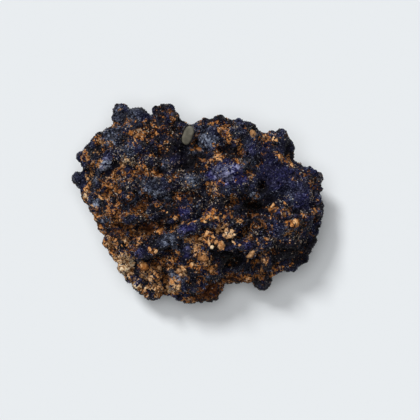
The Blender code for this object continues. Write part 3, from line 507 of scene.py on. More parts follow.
# Painted shade: dark patches laid on hollows and other places that lie in shade.
PAINTED_SHADE_PATCHES = [
    (190, 160, 13, 9, 0, 0.9), (182, 145, 6, 8, 0, 0.8), (252, 204, 13, 9, 0, 1), (262, 186, 5, 8, 0, 0.9),
    (232, 258, 13, 9, 0, 1), (285, 250, 20, 9, 0, 0.85), (302, 243, 10, 8, 0, 0.7),
    (172, 248, 6, 5, 0, 0.8), (165, 216, 8, 5, 0, 0.6), (230, 152, 6, 6, 0, 0.7), (195, 196, 9, 5, 0, 0.7),
    (150, 165, 4, 4, 0, 0.6), (218, 252, 8, 5, 0, 0.8), (240, 208, 6, 8, 0, 0.6), (144, 226, 9, 4, 0, 0.5),
    (270, 262, 6, 5, 0, 0.4), (300, 258, 12, 6, 0, 0.6), (136, 192, 6, 8, 0, 0.3), (160, 118, 8, 6, 0, 0.5),
    (285, 145, 8, 8, 0, 0.5), (150, 258, 5, 4, 0, 0.5), (245, 262, 8, 6, 0, 0.6), (268, 195, 6, 8, 0, 0.6),
    (215, 118, 14, 4, 0, 0.5), (246, 190, 6, 6, 0, 0.5), (272, 200, 6, 5, 0, 0.7), (232, 228, 4, 5, 0, 0.6),
    (138, 277, 5, 4, 0, 0.4), (176, 208, 5, 6, 0, 0.6), (170, 155, 9, 6, 0, 0.5), (104, 186, 4, 4, 0, 0.5),
    (266, 150, 6, 8, 0, 0.5), (252, 266, 8, 5, 0, 0.5), (222, 243, 3, 6, 0, 0.3), (140, 127, 5, 3, 0, 0.5),
    (113, 150, 4, 6, 0, 0.3), (300, 200, 8, 6, 0, 0.3), (279, 172, 6, 8, 0, 0.3), (232, 230, 4, 4, 0, 0.7),
    (108, 190, 9, 7, 0, 0.4), (122, 209, 7, 4, 0, 0.5), (233, 275, 8, 6, 0, 0.4), (155, 208, 6, 5, 0, 0.5),
    (246, 172, 4, 6, 0, 0.3), (270, 172, 10, 10, 0, 0.35), (172, 137, 5, 4, 0, 0.5),
    (165, 185, 8, 4, -30, 0.4), (247, 173, 5, 4, 0, 0.5), (230, 158, 5, 4, 0, 0.5),
    (264, 160, 5, 6, 0, 0.4), (201, 255, 5, 4, 0, 0.6), (115, 230, 6, 3, 0, 0.5), (152, 123, 4, 6, 0, 0.6),
    (166, 132, 5, 9, 0, 0.5), (119, 190, 5, 6, 0, 0.5), (104, 206, 4, 5, 0, 0.5), (119, 231, 6, 4, 0, 0.5),
    (117, 250, 4, 5, 0, 0.4), (157, 268, 5, 5, 0, 0.4), (183, 255, 4, 7, 0, 0.5), (192, 168, 14, 4, 0, 0.5),
    (238, 158, 6, 4, 0, 0.6), (226, 208, 5, 5, 0, 0.5), (250, 224, 4, 7, 0, 0.8), (279, 219, 8, 4, 0, 0.5),
    (236, 276, 9, 5, 0, 0.5), (190, 280, 5, 4, 0, 0.4), (162, 155, 7, 5, 0, 0.4), (154, 241, 10, 3, 0, 0.5),
    (146, 250, 3, 6, 0, 0.5), (180, 168, 8, 4, 0, 0.6), (120, 170, 6, 5, 0, 0.4), (126, 208, 6, 5, 0, 0.5),
    (214, 204, 6, 4, 0, 0.5), (205, 232, 5, 4, 0, 0.5), (120, 245, 5, 4, 0, 0.4), (271, 208, 6, 4, 0, 0.5),
    (195, 270, 6, 6, 0, 0.4), (190, 290, 6, 5, 0, 0.4), (118, 187, 5, 4, 0, 0.5), (110, 206, 5, 4, 0, 0.4),
    (222, 207, 5, 4, 0, 0.6), (266, 224, 6, 4, 0, 0.5), (198, 256, 5, 4, 0, 0.5), (158, 236, 6, 3, 0, 0.5),
    (152, 180, 4, 4, 0, 0.4), (160, 112, 7, 5, 0, 0.5), (149, 271, 5, 4, 0, 0.6), (236, 135, 5, 5, 0, 0.2),
    (285, 203, 5, 4, 0, 0.5), (260, 211, 6, 4, 0, 0.5), (248, 226, 5, 4, 0, 0.5), (110, 181, 4, 4, 0, 0.4),
    (123, 164, 4, 4, 0, 0.6), (262, 264, 5, 4, 0, 0.6), (158, 184, 5, 4, 0, 0.4),
    (208, 158, 7, 3, -20, 0.5), (234, 160, 5, 3, 0, 0.7), (167, 208, 4, 3, 0, 0.6),
    (187, 262, 5, 6, 0, 0.5), (212, 267, 4, 4, 0, 0.4), (205, 231, 4, 3, 0, 0.7), (257, 217, 5, 5, 0, 0.5),
    (146, 268, 5, 4, 0, 0.5), (157, 279, 3, 4, 0, 0.5), (227, 270, 6, 6, 0, 0.4), (154, 230, 6, 4, 0, 0.4),
    (143, 270, 4, 6, 0, 0.5), (120, 200, 6, 5, 0, 0.5), (208, 137, 4, 4, 0, 0.5), (185, 200, 8, 6, 0, 0.3),
    (247, 178, 4, 4, 0, 0.5), (182, 182, 6, 10, 0, 0.35), (178, 196, 6, 6, 0, 0.4),
    (226, 241, 6, 4, 0, 0.4), (160, 160, 6, 5, 0, 0.3),
]
CALM_PATCHES = [
    (283, 180, 27, 30, 0, 1), (222, 170, 20, 9, 12, 1), (135, 114, 15, 9, 0, 1), (78, 178, 8, 8, 0, 1),
    (204, 140, 7, 8, 0, 0.8), (264, 282, 9, 9, 0, 1), (170, 237, 10, 6, 30, 0.7), (245, 180, 6, 7, 0, 0.6),
    (183, 135, 4, 6, 0, 0.5), (283, 146, 7, 9, 0, 0.7),
]
SPECKLE_PATCHES = [
    (138, 160, 20, 5, 0, 1), (190, 181, 12, 9, 0, 1), (176, 172, 8, 5, 0, 0.7), (120, 180, 10, 6, 0, 0.6),
    (135, 185, 10, 6, 0, 0.6), (205, 200, 12, 10, 0, 0.8), (197, 190, 8, 8, 0, 0.7),
    (173, 162, 8, 6, 0, 0.5), (222, 168, 12, 5, 10, 0.7), (236, 164, 6, 5, 0, 0.6),
    (245, 178, 6, 6, 0, 0.6), (228, 196, 8, 6, 0, 0.6), (125, 150, 8, 6, 0, 0.6), (175, 140, 6, 10, 0, 0.5),
    (150, 135, 8, 8, 0, 0.4), (300, 165, 8, 5, -40, 0.4), (283, 200, 12, 6, 0, 0.5),
    (310, 195, 8, 6, 0, 0.4), (290, 235, 14, 6, 0, 0.6), (250, 228, 8, 5, 0, 0.7),
    (270, 240, 10, 8, 0, 0.5), (150, 215, 12, 6, 0, 0.4), (115, 200, 8, 8, 0, 0.4),
    (236, 130, 6, 8, 0, 0.5), (265, 125, 8, 5, 0, 0.4), (182, 115, 8, 6, 0, 0.4), (300, 215, 10, 5, 0, 0.4),
]
BARE_PATCHES = [
    (137, 268, 3.2, 6, 10, 0.9), (143, 281, 8, 1, -62, 0.6), (149, 291, 4, 1.5, -60, 0.6),
    (161, 246, 6, 7, 0, 0.8), (187, 229, 17, 3.6, 17, 0.9), (186, 252, 4, 9, 0, 0.8),
    (133, 219, 7, 4, 0, 0.8), (157, 213, 7, 7, 0, 0.7), (155, 187, 8, 7, 0, 0.6), (97, 203, 5, 3.5, 0, 0.6),
    (110, 135, 9, 6, 0, 0.6), (136, 113, 12, 8, 0, 0.7), (78, 178, 7, 8, 0, 0.8), (112, 165, 5, 6, 0, 0.7),
    (172, 166, 12, 6, 0, 0.8), (184, 150, 6, 7, 0, 0.5), (163, 140, 4, 6, 0, 0.5),
    (150, 127, 3.5, 6, 0, 0.5), (229, 122, 6, 4, 0, 0.4), (284, 147, 6, 10, 0, 0.6),
    (252, 158, 9, 4, 0, 0.5), (270, 203, 5, 5, 0, 0.7), (200, 214, 5, 3, 0, 0.3), (245, 267, 8, 5, 0, 0.5),
    (283, 180, 24, 24, 0, 0.3), (104, 207, 5, 7, 0, 0.5), (117, 197, 5, 5, 0, 0.4),
    (204, 142, 7, 7, 0, 0.8), (283, 236, 5, 4, 0, 0.4), (302, 200, 6, 8, 0, 0.3),
    (222, 171, 14, 6, 12, 0.4), (100, 148, 4, 4, 0, 0.5), (100, 185, 4, 5, 0, 0.5),
    (238, 132, 6, 5, 0, 0.6), (246, 143, 5, 5, 0, 0.7), (225, 182, 6, 5, 0, 0.5), (167, 199, 4, 5, 0, 0.4),
    (230, 228, 6, 6, 0, 0.5), (212, 236, 4, 3, 0, 0.4), (124, 245, 5, 7, 0, 0.5), (197, 276, 6, 6, 0, 0.4),
    (269, 264, 4, 4, 0, 0.4), (305, 205, 5, 6, 0, 0.4), (258, 152, 4, 4, 0, 0.4), (175, 108, 6, 4, 0, 0.5),
    (130, 205, 6, 5, 0, 0.5), (222, 209, 5, 8, 0, 0.5), (93, 175, 4, 4, 0, 0.5), (268, 210, 4, 4, 0, 0.4),
    (285, 203, 5, 4, 0, 0.4), (150, 257, 5, 3, 0, 0.5), (210, 252, 4, 4, 0, 0.4), (120, 119, 7, 4, 0, 0.5),
    (150, 115, 5, 4, 0, 0.5), (115, 168, 5, 4, 0, 0.6), (131, 168, 7, 5, 0, 0.5), (206, 158, 4, 4, 0, 0.4),
    (233, 133, 4, 5, 0, 0.5), (136, 240, 5, 5, 0, 0.3), (245, 252, 6, 5, 0, 0.3), (168, 206, 4, 4, 0, 0.5),
    (214, 240, 3, 4, 0, 0.4), (190, 268, 5, 4, 0, 0.4), (262, 264, 5, 4, 0, 0.5), (130, 280, 4, 4, 0, 0.3),
    (228, 222, 4, 4, 0, 0.4), (282, 229, 5, 4, 0, 0.4), (103, 221, 4, 4, 0, 0.4), (180, 192, 5, 4, 0, 0.35),
    (150, 252, 5, 4, 0, 0.4), (190, 240, 5, 4, 0, 0.3), (245, 250, 6, 5, 0, 0.3), (90, 148, 6, 5, 0, 0.4),
    (120, 168, 4, 6, 0, 0.4), (230, 137, 5, 4, 0, 0.4), (212, 248, 6, 5, 0, 0.35), (136, 280, 5, 4, 0, 0.4),
    (124, 199, 4, 4, 0, 0.4), (104, 190, 3, 4, 0, 0.3), (212, 137, 9, 6, -20, 0.5),
    (228, 243, 7, 4, 0, 0.5), (220, 248, 7, 5, 0, 0.4), (237, 245, 6, 4, 0, 0.4), (200, 220, 4, 4, 0, 0.5),
]

PATCHES = {"clay": CLAY_PATCHES, "rust": RUST_PATCHES, "cream": CREAM_PATCHES, "violet": VIOLET_PATCHES,
           "slate": SLATE_PATCHES, "soot": PAINTED_SHADE_PATCHES, "calm": CALM_PATCHES, "speckle": SPECKLE_PATCHES,
           "bare": BARE_PATCHES}
print("patches:", ", ".join(f"{len(patches)} {name}" for name, patches in PATCHES.items()))

# %% From the plan to the specimen
PLAN_STEPS = 3  # to the millimetre
PLAN_CENTRE = (198, 204)  # steps from the plan's left and upper edges
CENTRE_AT = (0.02, -0.28)  # mm, where that point is on the specimen


def on_specimen(across, down):
    """A point of the plan in mm, to a tenth."""
    left, upper = PLAN_CENTRE
    x, y = CENTRE_AT
    return round((across - left) / PLAN_STEPS + x, 1), round((upper - down) / PLAN_STEPS + y, 1)


def patches_in_mm(patches):
    """The patches with their places and half sizes in mm."""
    return [(*on_specimen(across, down), round(length / PLAN_STEPS, 1), round(width / PLAN_STEPS, 1), *rest)
            for across, down, length, width, *rest in patches]


print("the first patch of clay is at", on_specimen(*CLAY_PATCHES[0][:2]), "mm")


# %% [markdown]
# ## The shares at every point
# A patch with a hard edge would look like a sticker. So each patch fades out, its edge wanders with a
# noise, and the strongest patch counts. The shape has a say too: clay settles in hollows, the deeper hollows
# get painted shade, and lumps are cleaner. On the sides and below, where there are no patches, broad
# blotches of noise stand in for them, and an even painted shade darkens them.

# %% The shares of the finishes
PATCH_SOFTNESS = 0.38  # of its size, how far a patch fades out
WANDER = 0.7  # mm by which the patches' edges wander
WANDER_SCALE = 0.55  # how fine the wandering is
SEEN_FACING = (-0.25, 0.25)  # of the normal's height, where the upper side fades in
SEEN_HEIGHT = (5.0, 9.0)  # mm over the base, where the upper side fades in
CLAY_EVERYWHERE = 0.14
CLAY_KEPT_OFF = 0.6  # of it, what violet, slate and calm skin keep off
CLAY_MOST = 0.92  # so that some azurite shows in every patch of clay
CLAY_LOST_IN_PAINTED_SHADE = 0.15
CLAY_IN_HOLLOWS = 0.20  # more for each mm of depth, and less on each mm of height
# how dark the painted shade in the deepest hollows is
PAINTED_SHADE_IN_HOLLOWS = 0.8
PAINTED_SHADE_DEPTH = (0.2, 0.9)  # mm of depth, where the painted shade of hollows begins and is full
BLOTCHES = (0.16, 0.9, 2.0, 3)  # of the sides: how fine, how rough, step between octaves, octaves
# what stands in for the patches below: (mean, strength of the blotches); the painted shade below is even
BELOW = {"clay": (0.40, 0.30), "rust": (0.25, 0.5), "speckle": (0.3, 0.0), "soot": (0.3, 0.0)}


def patch_share(points, patches):
    """The strongest patch at each point, in mm seen from above."""
    share = np.zeros(len(points))
    for x, y, length, width, turn, strength in patches:
        angle = math.radians(turn)
        across = points[:, 0] - x
        along = points[:, 1] - y
        u = (across * math.cos(angle) + along * math.sin(angle)) / length
        v = (along * math.cos(angle) - across * math.sin(angle)) / width
        inside = (1.0 + PATCH_SOFTNESS - np.hypot(u, v)) / (2.0 * PATCH_SOFTNESS)
        share = np.maximum(share, strength * np.clip(inside, 0.0, 1.0))
    return share


def step(values, low, high):
    t = np.clip((values - low) / (high - low), 0.0, 1.0)
    return t * t * (3.0 - 2.0 * t)


points = rows(skin.data.vertices) / MM
normals = rows(skin.data.vertex_normals, "vector")
wander = np.array([noise.noise_vector(Vector(point) * WANDER_SCALE) for point in points])
seen = points + wander * WANDER
from_above = step(normals[:, 2], *SEEN_FACING) * step(points[:, 2], *SEEN_HEIGHT)
shares = {name: patch_share(seen, patches_in_mm(patches)) for name, patches in PATCHES.items()}
# painted shade: the deeper hollows are darkened
shares["soot"] = np.maximum(shares["soot"], PAINTED_SHADE_IN_HOLLOWS * step(hollow_now, *PAINTED_SHADE_DEPTH))
azurite_only = np.maximum.reduce([shares["violet"], shares["slate"], shares["calm"]])
shares["clay"] = np.clip(shares["clay"], CLAY_EVERYWHERE * (1.0 - CLAY_KEPT_OFF * azurite_only), CLAY_MOST)
shares["clay"] += CLAY_IN_HOLLOWS * np.clip(hollow_now, -1.0, 1.0) - CLAY_LOST_IN_PAINTED_SHADE * shares["soot"]
shares["clay"] -= shares.pop("bare")
fineness, *blotchiness = BLOTCHES
blotches = np.array([noise.fractal(Vector(point) * fineness, *blotchiness) for point in points])
for name, share in shares.items():
    if name != "calm":
        mean, strength = BELOW.get(name, (0.0, 0.0))
        share = share * from_above + (mean + strength * blotches) * (1.0 - from_above)
    store(skin.data, name, share)
store(skin.data, "above", from_above)
print("finishes:", ", ".join(f"{name} {share.mean():.2f}" for name, share in shares.items()))


# %% [markdown]
# ## Where the clay shows
# Clay and azurite are finely mixed: inside a clay patch run dark curls of azurite, and flecks of clay lie
# outside the patches. So the share stored on the skin is only a chance. Noises of four sizes, thin curls
# and dots are added to it, and a narrow step makes a crisp mask of the sum. The same few nodes serve the
# geometry trees, which ask whether a grain may grow, and the material, which asks for the colour, so both
# agree.

# %% The clay mask
CLAY_STEP = (0.39, 0.43)  # of the chance: azurite under the first, clay above the second
CLAY_NOISES = ((0.22, 0.8), (0.5, 1.5), (0.95, 1.4), (2.2, 0.4))  # (how fine, how strong)
CURLS = ((0.75, 0.050, -0.50), (0.62, 0.040, 0.30))  # (how fine, how wide, how strong)
DOTS = (1.5, 0.35, 0.39, -0.6)  # (how fine, full dot under this, none over this, how strong)


def clay_chance(recipe, place, share):
    """How likely clay is at a place in mm: it shows above the step."""
    total = share
    for fineness, strength in CLAY_NOISES:
        wave = recipe.math("SUBTRACT", recipe.noise(place, fineness, 1.0), 0.5)
        total = recipe.math("ADD", total, recipe.math("MULTIPLY", wave, strength))
    for fineness, width, strength in CURLS:
        ridge = recipe.math("ABSOLUTE", recipe.math("SUBTRACT", recipe.noise(place, fineness, 2.0), 0.5))
        total = recipe.math("ADD", total, recipe.smooth_step(ridge, 0.0, width, strength, 0.0))
    fineness, low, high, strength = DOTS
    dots = recipe.smooth_step(recipe.noise(place, fineness, 0.0), low, high, strength, 0.0)
    return recipe.math("ADD", total, dots)


print("clay shows where its share and", len(CLAY_NOISES) + len(CURLS) + 1, "noises pass", CLAY_STEP)


# %% [markdown]
# ## Swellings of the skin
# Azurite of this kind is botryoidal: its crust swells into small round knobs with sharp valleys between
# them. A Voronoi cell is just that shape: a dome of each cell, from its distance to the cell's middle,
# gives knobs that meet in valleys. Two layers, of coarse and of fine knobs, move the skin along its
# normals, less where it is calm or under clay. The tree also stores "valley", how near a point is to the
# line between two coarse knobs.

# %% The tree of swellings
KNOBS = ((2.6, 0.80), (1.3, 0.36))  # (size of a knob, its height), in mm
KNOB_BEND = (0.4, 2.2)  # (how fine, how many mm) the cells are bent, so that no two knobs are alike
KNOB_REACH = 0.72  # of a cell, how far a dome reaches
VALLEY_STEP = (0.72, 1.0)  # of a dome's reach, where the valley between two domes begins and is deepest
KNOB_LEVEL = 0.72  # the part of a dome's height that lies under the old skin
CLAY_FLATTENS = 0.93  # of a knob's height, what a full cover of clay takes away
COVERED = (0.3, 0.7)  # the share of clay where the flattening begins and is full
KNOBS_START = (0.3, 1.2)  # mm over the base
CALM_KNOBS = 0.25  # of a knob's height, what is left on calm skin

knob = Recipe(
    "swellings", "GeometryNodeTree",
    inputs=[("Skin", "NodeSocketGeometry", None), ("Strength", "NodeSocketFloat", 1.0),
            ("On calm skin", "NodeSocketFloat", 0.2)],
    outputs=[("Skin", "NodeSocketGeometry")],
)
place = knob.vector("SCALE", knob.add("GeometryNodeInputPosition").outputs[0], scale=1.0 / MM)
fineness, length = KNOB_BEND
bend = knob.add("ShaderNodeTexNoise", Vector=place, Scale=fineness, Detail=2.0).outputs["Color"]
bend = knob.vector("SUBTRACT", bend, (0.5, 0.5, 0.5))
bent = knob.vector("ADD", place, knob.vector("SCALE", bend, scale=length))
height, valley = None, None
for size, rise in KNOBS:
    cells = knob.add("ShaderNodeTexVoronoi", {"feature": "F1"}, Vector=bent, Scale=1.0 / size)
    reach = knob.math("DIVIDE", cells.outputs["Distance"], KNOB_REACH, clamp=True)
    valley = knob.smooth_step(reach, *VALLEY_STEP) if valley is None else valley
    dome = knob.math("SQRT", knob.math("SUBTRACT", 1.0, knob.math("MULTIPLY", reach, reach)))
    lift = knob.math("MULTIPLY", knob.math("SUBTRACT", dome, KNOB_LEVEL), rise * MM)
    height = lift if height is None else knob.math("ADD", height, lift)
calm = knob.add("GeometryNodeInputNamedAttribute", Name="calm").outputs["Attribute"]
lively = knob.smooth_step(calm, 0.0, 1.0, knob.given["Strength"], knob.given["On calm skin"])
clay = knob.add("GeometryNodeInputNamedAttribute", Name="clay").outputs["Attribute"]
flat = knob.smooth_step(clay, *COVERED, 1.0, 1.0 - CLAY_FLATTENS)
lively = knob.math("MULTIPLY", lively, flat)
off_base = knob.smooth_step(knob.add("ShaderNodeSeparateXYZ", Vector=place).outputs["Z"], *KNOBS_START)
height = knob.math("MULTIPLY", height, knob.math("MULTIPLY", off_base, lively))
offset = knob.vector("SCALE", knob.add("GeometryNodeInputNormal").outputs[0], scale=height)
# The valley lines are stored for the finishes, which paint shade along them.
stored = knob.add("GeometryNodeStoreNamedAttribute", {"data_type": "FLOAT", "domain": "POINT"},
                  Geometry=knob.given["Skin"], Name="valley", Value=knob.math("MULTIPLY", valley, lively))
moved = knob.add("GeometryNodeSetPosition", Geometry=stored.outputs["Geometry"], Offset=offset)
knob.feed(knob.result["Skin"], moved.outputs["Geometry"])

add_tree(skin, knob, Strength=1.0, On_calm_skin=CALM_KNOBS)
bake_modifiers(skin)
print("the valleys cover", f"{(read(skin.data, 'valley') > 0.5).mean():.2f}", "of the skin's points")

# %% A flat base again
BASE_SNAP = 0.12 * MM  # smoothing rounded the base's plane by less than this

ends = rows(skin.data.vertices)
ends[ends[:, 2] < BASE_SNAP, 2] = 0.0
skin.data.vertices.foreach_set("co", ends.ravel())
skin.data.update()
print("the skin reaches up to", f"{ends[:, 2].max() / MM:.2f} mm and has",
      (ends[:, 2] == 0.0).sum(), "points on its base")


# %% [markdown]
# ## Colours of the azurite
# Azurite is nearly black where its crystals are coarse and bluer the finer they are. So each variety has a
# ramp of its own, from its shadows to its lit edges: navy, violet and slate blue, and a sooty black. The
# sooty black is partly a manganese coat in random clouds and partly painted shade, on the hollows, shaded
# places and sides that are listed for it. Darker grains break the violet and the slate up. The skin and the
# loose grains share these colours, so they are one group of shader nodes, which takes the shares of the
# varieties and gives a colour.

# %% The group of azurite colours
MOTTLE_NOISE = (0.9, 3.0, 0.65)
MOTTLE_STEP = (0.40, 0.52, 0.35, 1.25)
SOOT_NOISE = (0.30, 3.0)
SOOT_STEP = (0.42, 0.56, 0.0, 0.85)
# The blooms are partly the paler colour of fine azurite and partly painted light: strengths over 1 brighten
# spots that lie in shade.
VIOLET_BLOOM = (0.7, 1.4, 0.0, 0.8)  # a share past the first lightens the shade, up to the last
SLATE_BLOOM = (0.6, 1.6, 0.0, 0.65)

azurite_tone = Recipe(
    "azurite_tone", "ShaderNodeTree",
    inputs=[("Place", "NodeSocketVector", None), ("Shade", "NodeSocketFloat", 0.5),
            ("Violet", "NodeSocketFloat", 0.0), ("Slate", "NodeSocketFloat", 0.0),
            ("Soot", "NodeSocketFloat", 0.0)],
    outputs=[("Colour", "NodeSocketColor")],
)
place, shade = azurite_tone.given["Place"], azurite_tone.given["Shade"]
mottle = azurite_tone.smooth_step(azurite_tone.noise(place, *MOTTLE_NOISE), *MOTTLE_STEP)
violet_share = azurite_tone.math("MULTIPLY", azurite_tone.given["Violet"], mottle)
slate_share = azurite_tone.math("MULTIPLY", azurite_tone.given["Slate"], mottle)
# The sooty black: random clouds of a manganese coat, and painted shade where the stored share asks for it.
cloud = azurite_tone.smooth_step(azurite_tone.noise(place, *SOOT_NOISE), *SOOT_STEP)
soot_and_painted_shade_share = azurite_tone.math("MAXIMUM", cloud, azurite_tone.given["Soot"])
soot = azurite_tone.ramp(shade, (0.0, (0.001, 0.001, 0.001)), (0.6, (0.016, 0.014, 0.015)),
                         (1.0, (0.14, 0.125, 0.11)))
navy = azurite_tone.ramp(shade, (0.0, (0.001, 0.001, 0.004)), (0.45, (0.010, 0.011, 0.034)),
                         (0.7, (0.036, 0.041, 0.090)), (0.9, (0.125, 0.140, 0.220)),
                         (1.0, (0.30, 0.33, 0.42)))
bloom = azurite_tone.smooth_step(violet_share, *VIOLET_BLOOM)
violet = azurite_tone.ramp(azurite_tone.math("ADD", shade, bloom), (0.0, (0.003, 0.003, 0.020)),
                           (0.45, (0.022, 0.020, 0.105)), (0.8, (0.145, 0.145, 0.34)),
                           (1.0, (0.38, 0.385, 0.60)))
bloom = azurite_tone.smooth_step(slate_share, *SLATE_BLOOM)
slate = azurite_tone.ramp(azurite_tone.math("ADD", shade, bloom), (0.0, (0.002, 0.002, 0.005)),
                          (0.4, (0.020, 0.023, 0.038)), (0.75, (0.106, 0.124, 0.182)),
                          (1.0, (0.31, 0.35, 0.45)))
colour = azurite_tone.mix(soot_and_painted_shade_share, navy, soot)
colour = azurite_tone.mix(violet_share, colour, violet)
colour = azurite_tone.mix(slate_share, colour, slate)
azurite_tone.feed(azurite_tone.result["Colour"], colour)
print("azurite colours:", len(azurite_tone.tree.nodes), "nodes")


# %% [markdown]
# ## Colours of the clay
# Iron colours the clay orange. Where more iron gathered it is a dark rust, where it washed out it is cream,
# and dust makes it grey-brown. Four ramps again, mixed by their shares, and in a group, because the skin,
# the flakes and the dust on the azurite all take their colour from it.

# %% The group of clay colours
clay_tone = Recipe(
    "clay_tone", "ShaderNodeTree",
    inputs=[("Shade", "NodeSocketFloat", 0.5), ("Rust", "NodeSocketFloat", 0.0),
            ("Cream", "NodeSocketFloat", 0.0), ("Dust", "NodeSocketFloat", 0.0)],
    outputs=[("Colour", "NodeSocketColor")],
)
shade = clay_tone.given["Shade"]
orange = clay_tone.ramp(shade, (0.0, (0.012, 0.004, 0.002)), (0.35, (0.090, 0.031, 0.008)),
                        (0.65, (0.39, 0.144, 0.036)), (0.88, (0.64, 0.288, 0.095)), (1.0, (0.76, 0.46, 0.22)))
rust = clay_tone.ramp(shade, (0.0, (0.012, 0.005, 0.003)), (0.6, (0.07, 0.024, 0.010)),
                      (1.0, (0.20, 0.075, 0.028)))
cream = clay_tone.ramp(shade, (0.0, (0.03, 0.012, 0.005)), (0.4, (0.33, 0.165, 0.070)),
                       (0.75, (0.70, 0.43, 0.215)), (1.0, (0.90, 0.72, 0.48)))
dusty = clay_tone.ramp(shade, (0.0, (0.008, 0.007, 0.006)), (0.35, (0.050, 0.040, 0.032)),
                       (0.65, (0.20, 0.155, 0.115)), (1.0, (0.66, 0.55, 0.42)))
colour = clay_tone.mix(clay_tone.given["Dust"], orange, dusty)
colour = clay_tone.mix(clay_tone.given["Rust"], colour, rust)
colour = clay_tone.mix(clay_tone.given["Cream"], colour, cream)
clay_tone.feed(clay_tone.result["Colour"], colour)
print("clay colours:", len(clay_tone.tree.nodes), "nodes")


# %% [markdown]
# ## Two more shared effects
# Painted shade takes light away in the valleys between the knobs and on the hollows, shaded places and
# sides listed for it. And the materials have to ask whether clay shows at a place just as the trees of
# grains do. Both are groups too: one gives the part of a shade that is left after the painted shade, the
# other the chance of clay and its mask.

# %% The groups of dirt and of clay cover
PAINTED_SHADE_DIMS = 0.4  # of a shade, what full painted shade takes away
VALLEY_PAINTED_SHADE = 0.2  # of a shade, what painted shade takes away in the deepest valley

light_left = Recipe("light_left", "ShaderNodeTree",
                    inputs=[("Soot", "NodeSocketFloat", 0.0), ("Valley", "NodeSocketFloat", 0.0)],
                    outputs=[("Left", "NodeSocketFloat")])
lost = light_left.math("ADD", light_left.math("MULTIPLY", light_left.given["Soot"], PAINTED_SHADE_DIMS),
                       light_left.math("MULTIPLY", light_left.given["Valley"], VALLEY_PAINTED_SHADE))
light_left.feed(light_left.result["Left"], light_left.math("SUBTRACT", 1.0, lost, clamp=True))

clay_cover = Recipe("clay_cover", "ShaderNodeTree",
                    inputs=[("Place", "NodeSocketVector", None), ("Share", "NodeSocketFloat", 0.0)],
                    outputs=[("Chance", "NodeSocketFloat"), ("Mask", "NodeSocketFloat")])
chance = clay_chance(clay_cover, clay_cover.given["Place"], clay_cover.given["Share"])
clay_cover.feed(clay_cover.result["Chance"], chance)
clay_cover.feed(clay_cover.result["Mask"], clay_cover.smooth_step(chance, *CLAY_STEP))
print("shared effects:", light_left.tree.name, "and", clay_cover.tree.name)


# %% [markdown]
# ## A short way to write materials
# Each material is a short function. It reads the shares stored on the mesh, places the shared groups with
# its own values, and leaves gloss to the Principled shader. This helper adds to the node helper what only a
# material needs.

# %% The material helper
class Finish(Recipe):
    """A material, written in the same way as a tree."""

    def __init__(self, name, **sockets):
        self.material = bpy.data.materials.new(name)
        self.material.use_nodes = True
        self.tree = self.material.node_tree
        self.shader = self.tree.nodes["Principled BSDF"]
        for key, value in sockets.items():
            self.shader.inputs[key.replace("_", " ")].default_value = value

    def attribute(self, name):
        return self.add("ShaderNodeAttribute", {"attribute_name": name}).outputs["Fac"]

    def place_mm(self):
        return self.vector("SCALE", self.add("ShaderNodeTexCoord").outputs["Object"], scale=1.0 / MM)

    def group(self, recipe, *attributes, **feeds):
        """Places a shared group. An attribute feeds the socket that has its name with a capital letter."""
        made = self.add("ShaderNodeGroup", {"node_tree": recipe.tree})
        for name in attributes:
            self.feed(made.inputs[name.capitalize()], self.attribute(name))
        for key, value in feeds.items():
            self.feed(made.inputs[key], value)
        return made.outputs

    def colour(self, value):
        self.feed(self.shader.inputs["Base Color"], value)

    def roughness(self, value):
        self.feed(self.shader.inputs["Roughness"], value)

    def bump(self, height, strength, distance):
        made = self.add("ShaderNodeBump", Height=height, Strength=strength, Distance=distance)
        self.feed(self.shader.inputs["Normal"], made.outputs["Normal"])


# %% [markdown]
# ## The skin's finish
# Seen close, the crust is a dark mass of tiny crystals, lit here and there, with a thin dark line where it
# meets clay. The clay has two tones with a crisp border between them, clouded and dusty. A fractal noise
# and a Voronoi pattern as fine as the crystals give the azurite's shade, and the clay stands a little proud
# in the bump.

# %% The finish of the skin
DARK_EDGE = (0.15, 0.38, 1.0, 0.3)  # azurite is darker beside clay: from one chance to another, shade kept
CRYSTAL_NOISE = (1.7, 3.0, 0.8)
CRYSTAL_STEP = (0.36, 0.68, 0.0, 0.6)
CRYSTAL_CELLS = (2.4, 0.35)  # (how fine, how strong)
CLAY_TONES = (0.9, 2.0)
CLAY_TWO_TONES = (0.465, 0.50, 0.30, 0.76)  # dark clay below the first, bright clay above the second
CLAY_CLOUDS = ((0.35, 1.0), (1.8, 0.8))  # (how fine, how strong)
CLAY_STANDS_PROUD = 1.2  # in the bump
CREAM_BRIGHTENS = 0.22  # of a shade, where the clay is cream
DUST_NOISE = (1.15, 2.0)
DUST_STEP = (0.46, 0.66, 0.0, 0.85)
DULL = (0.45, 0.9)  # roughness of azurite and of clay


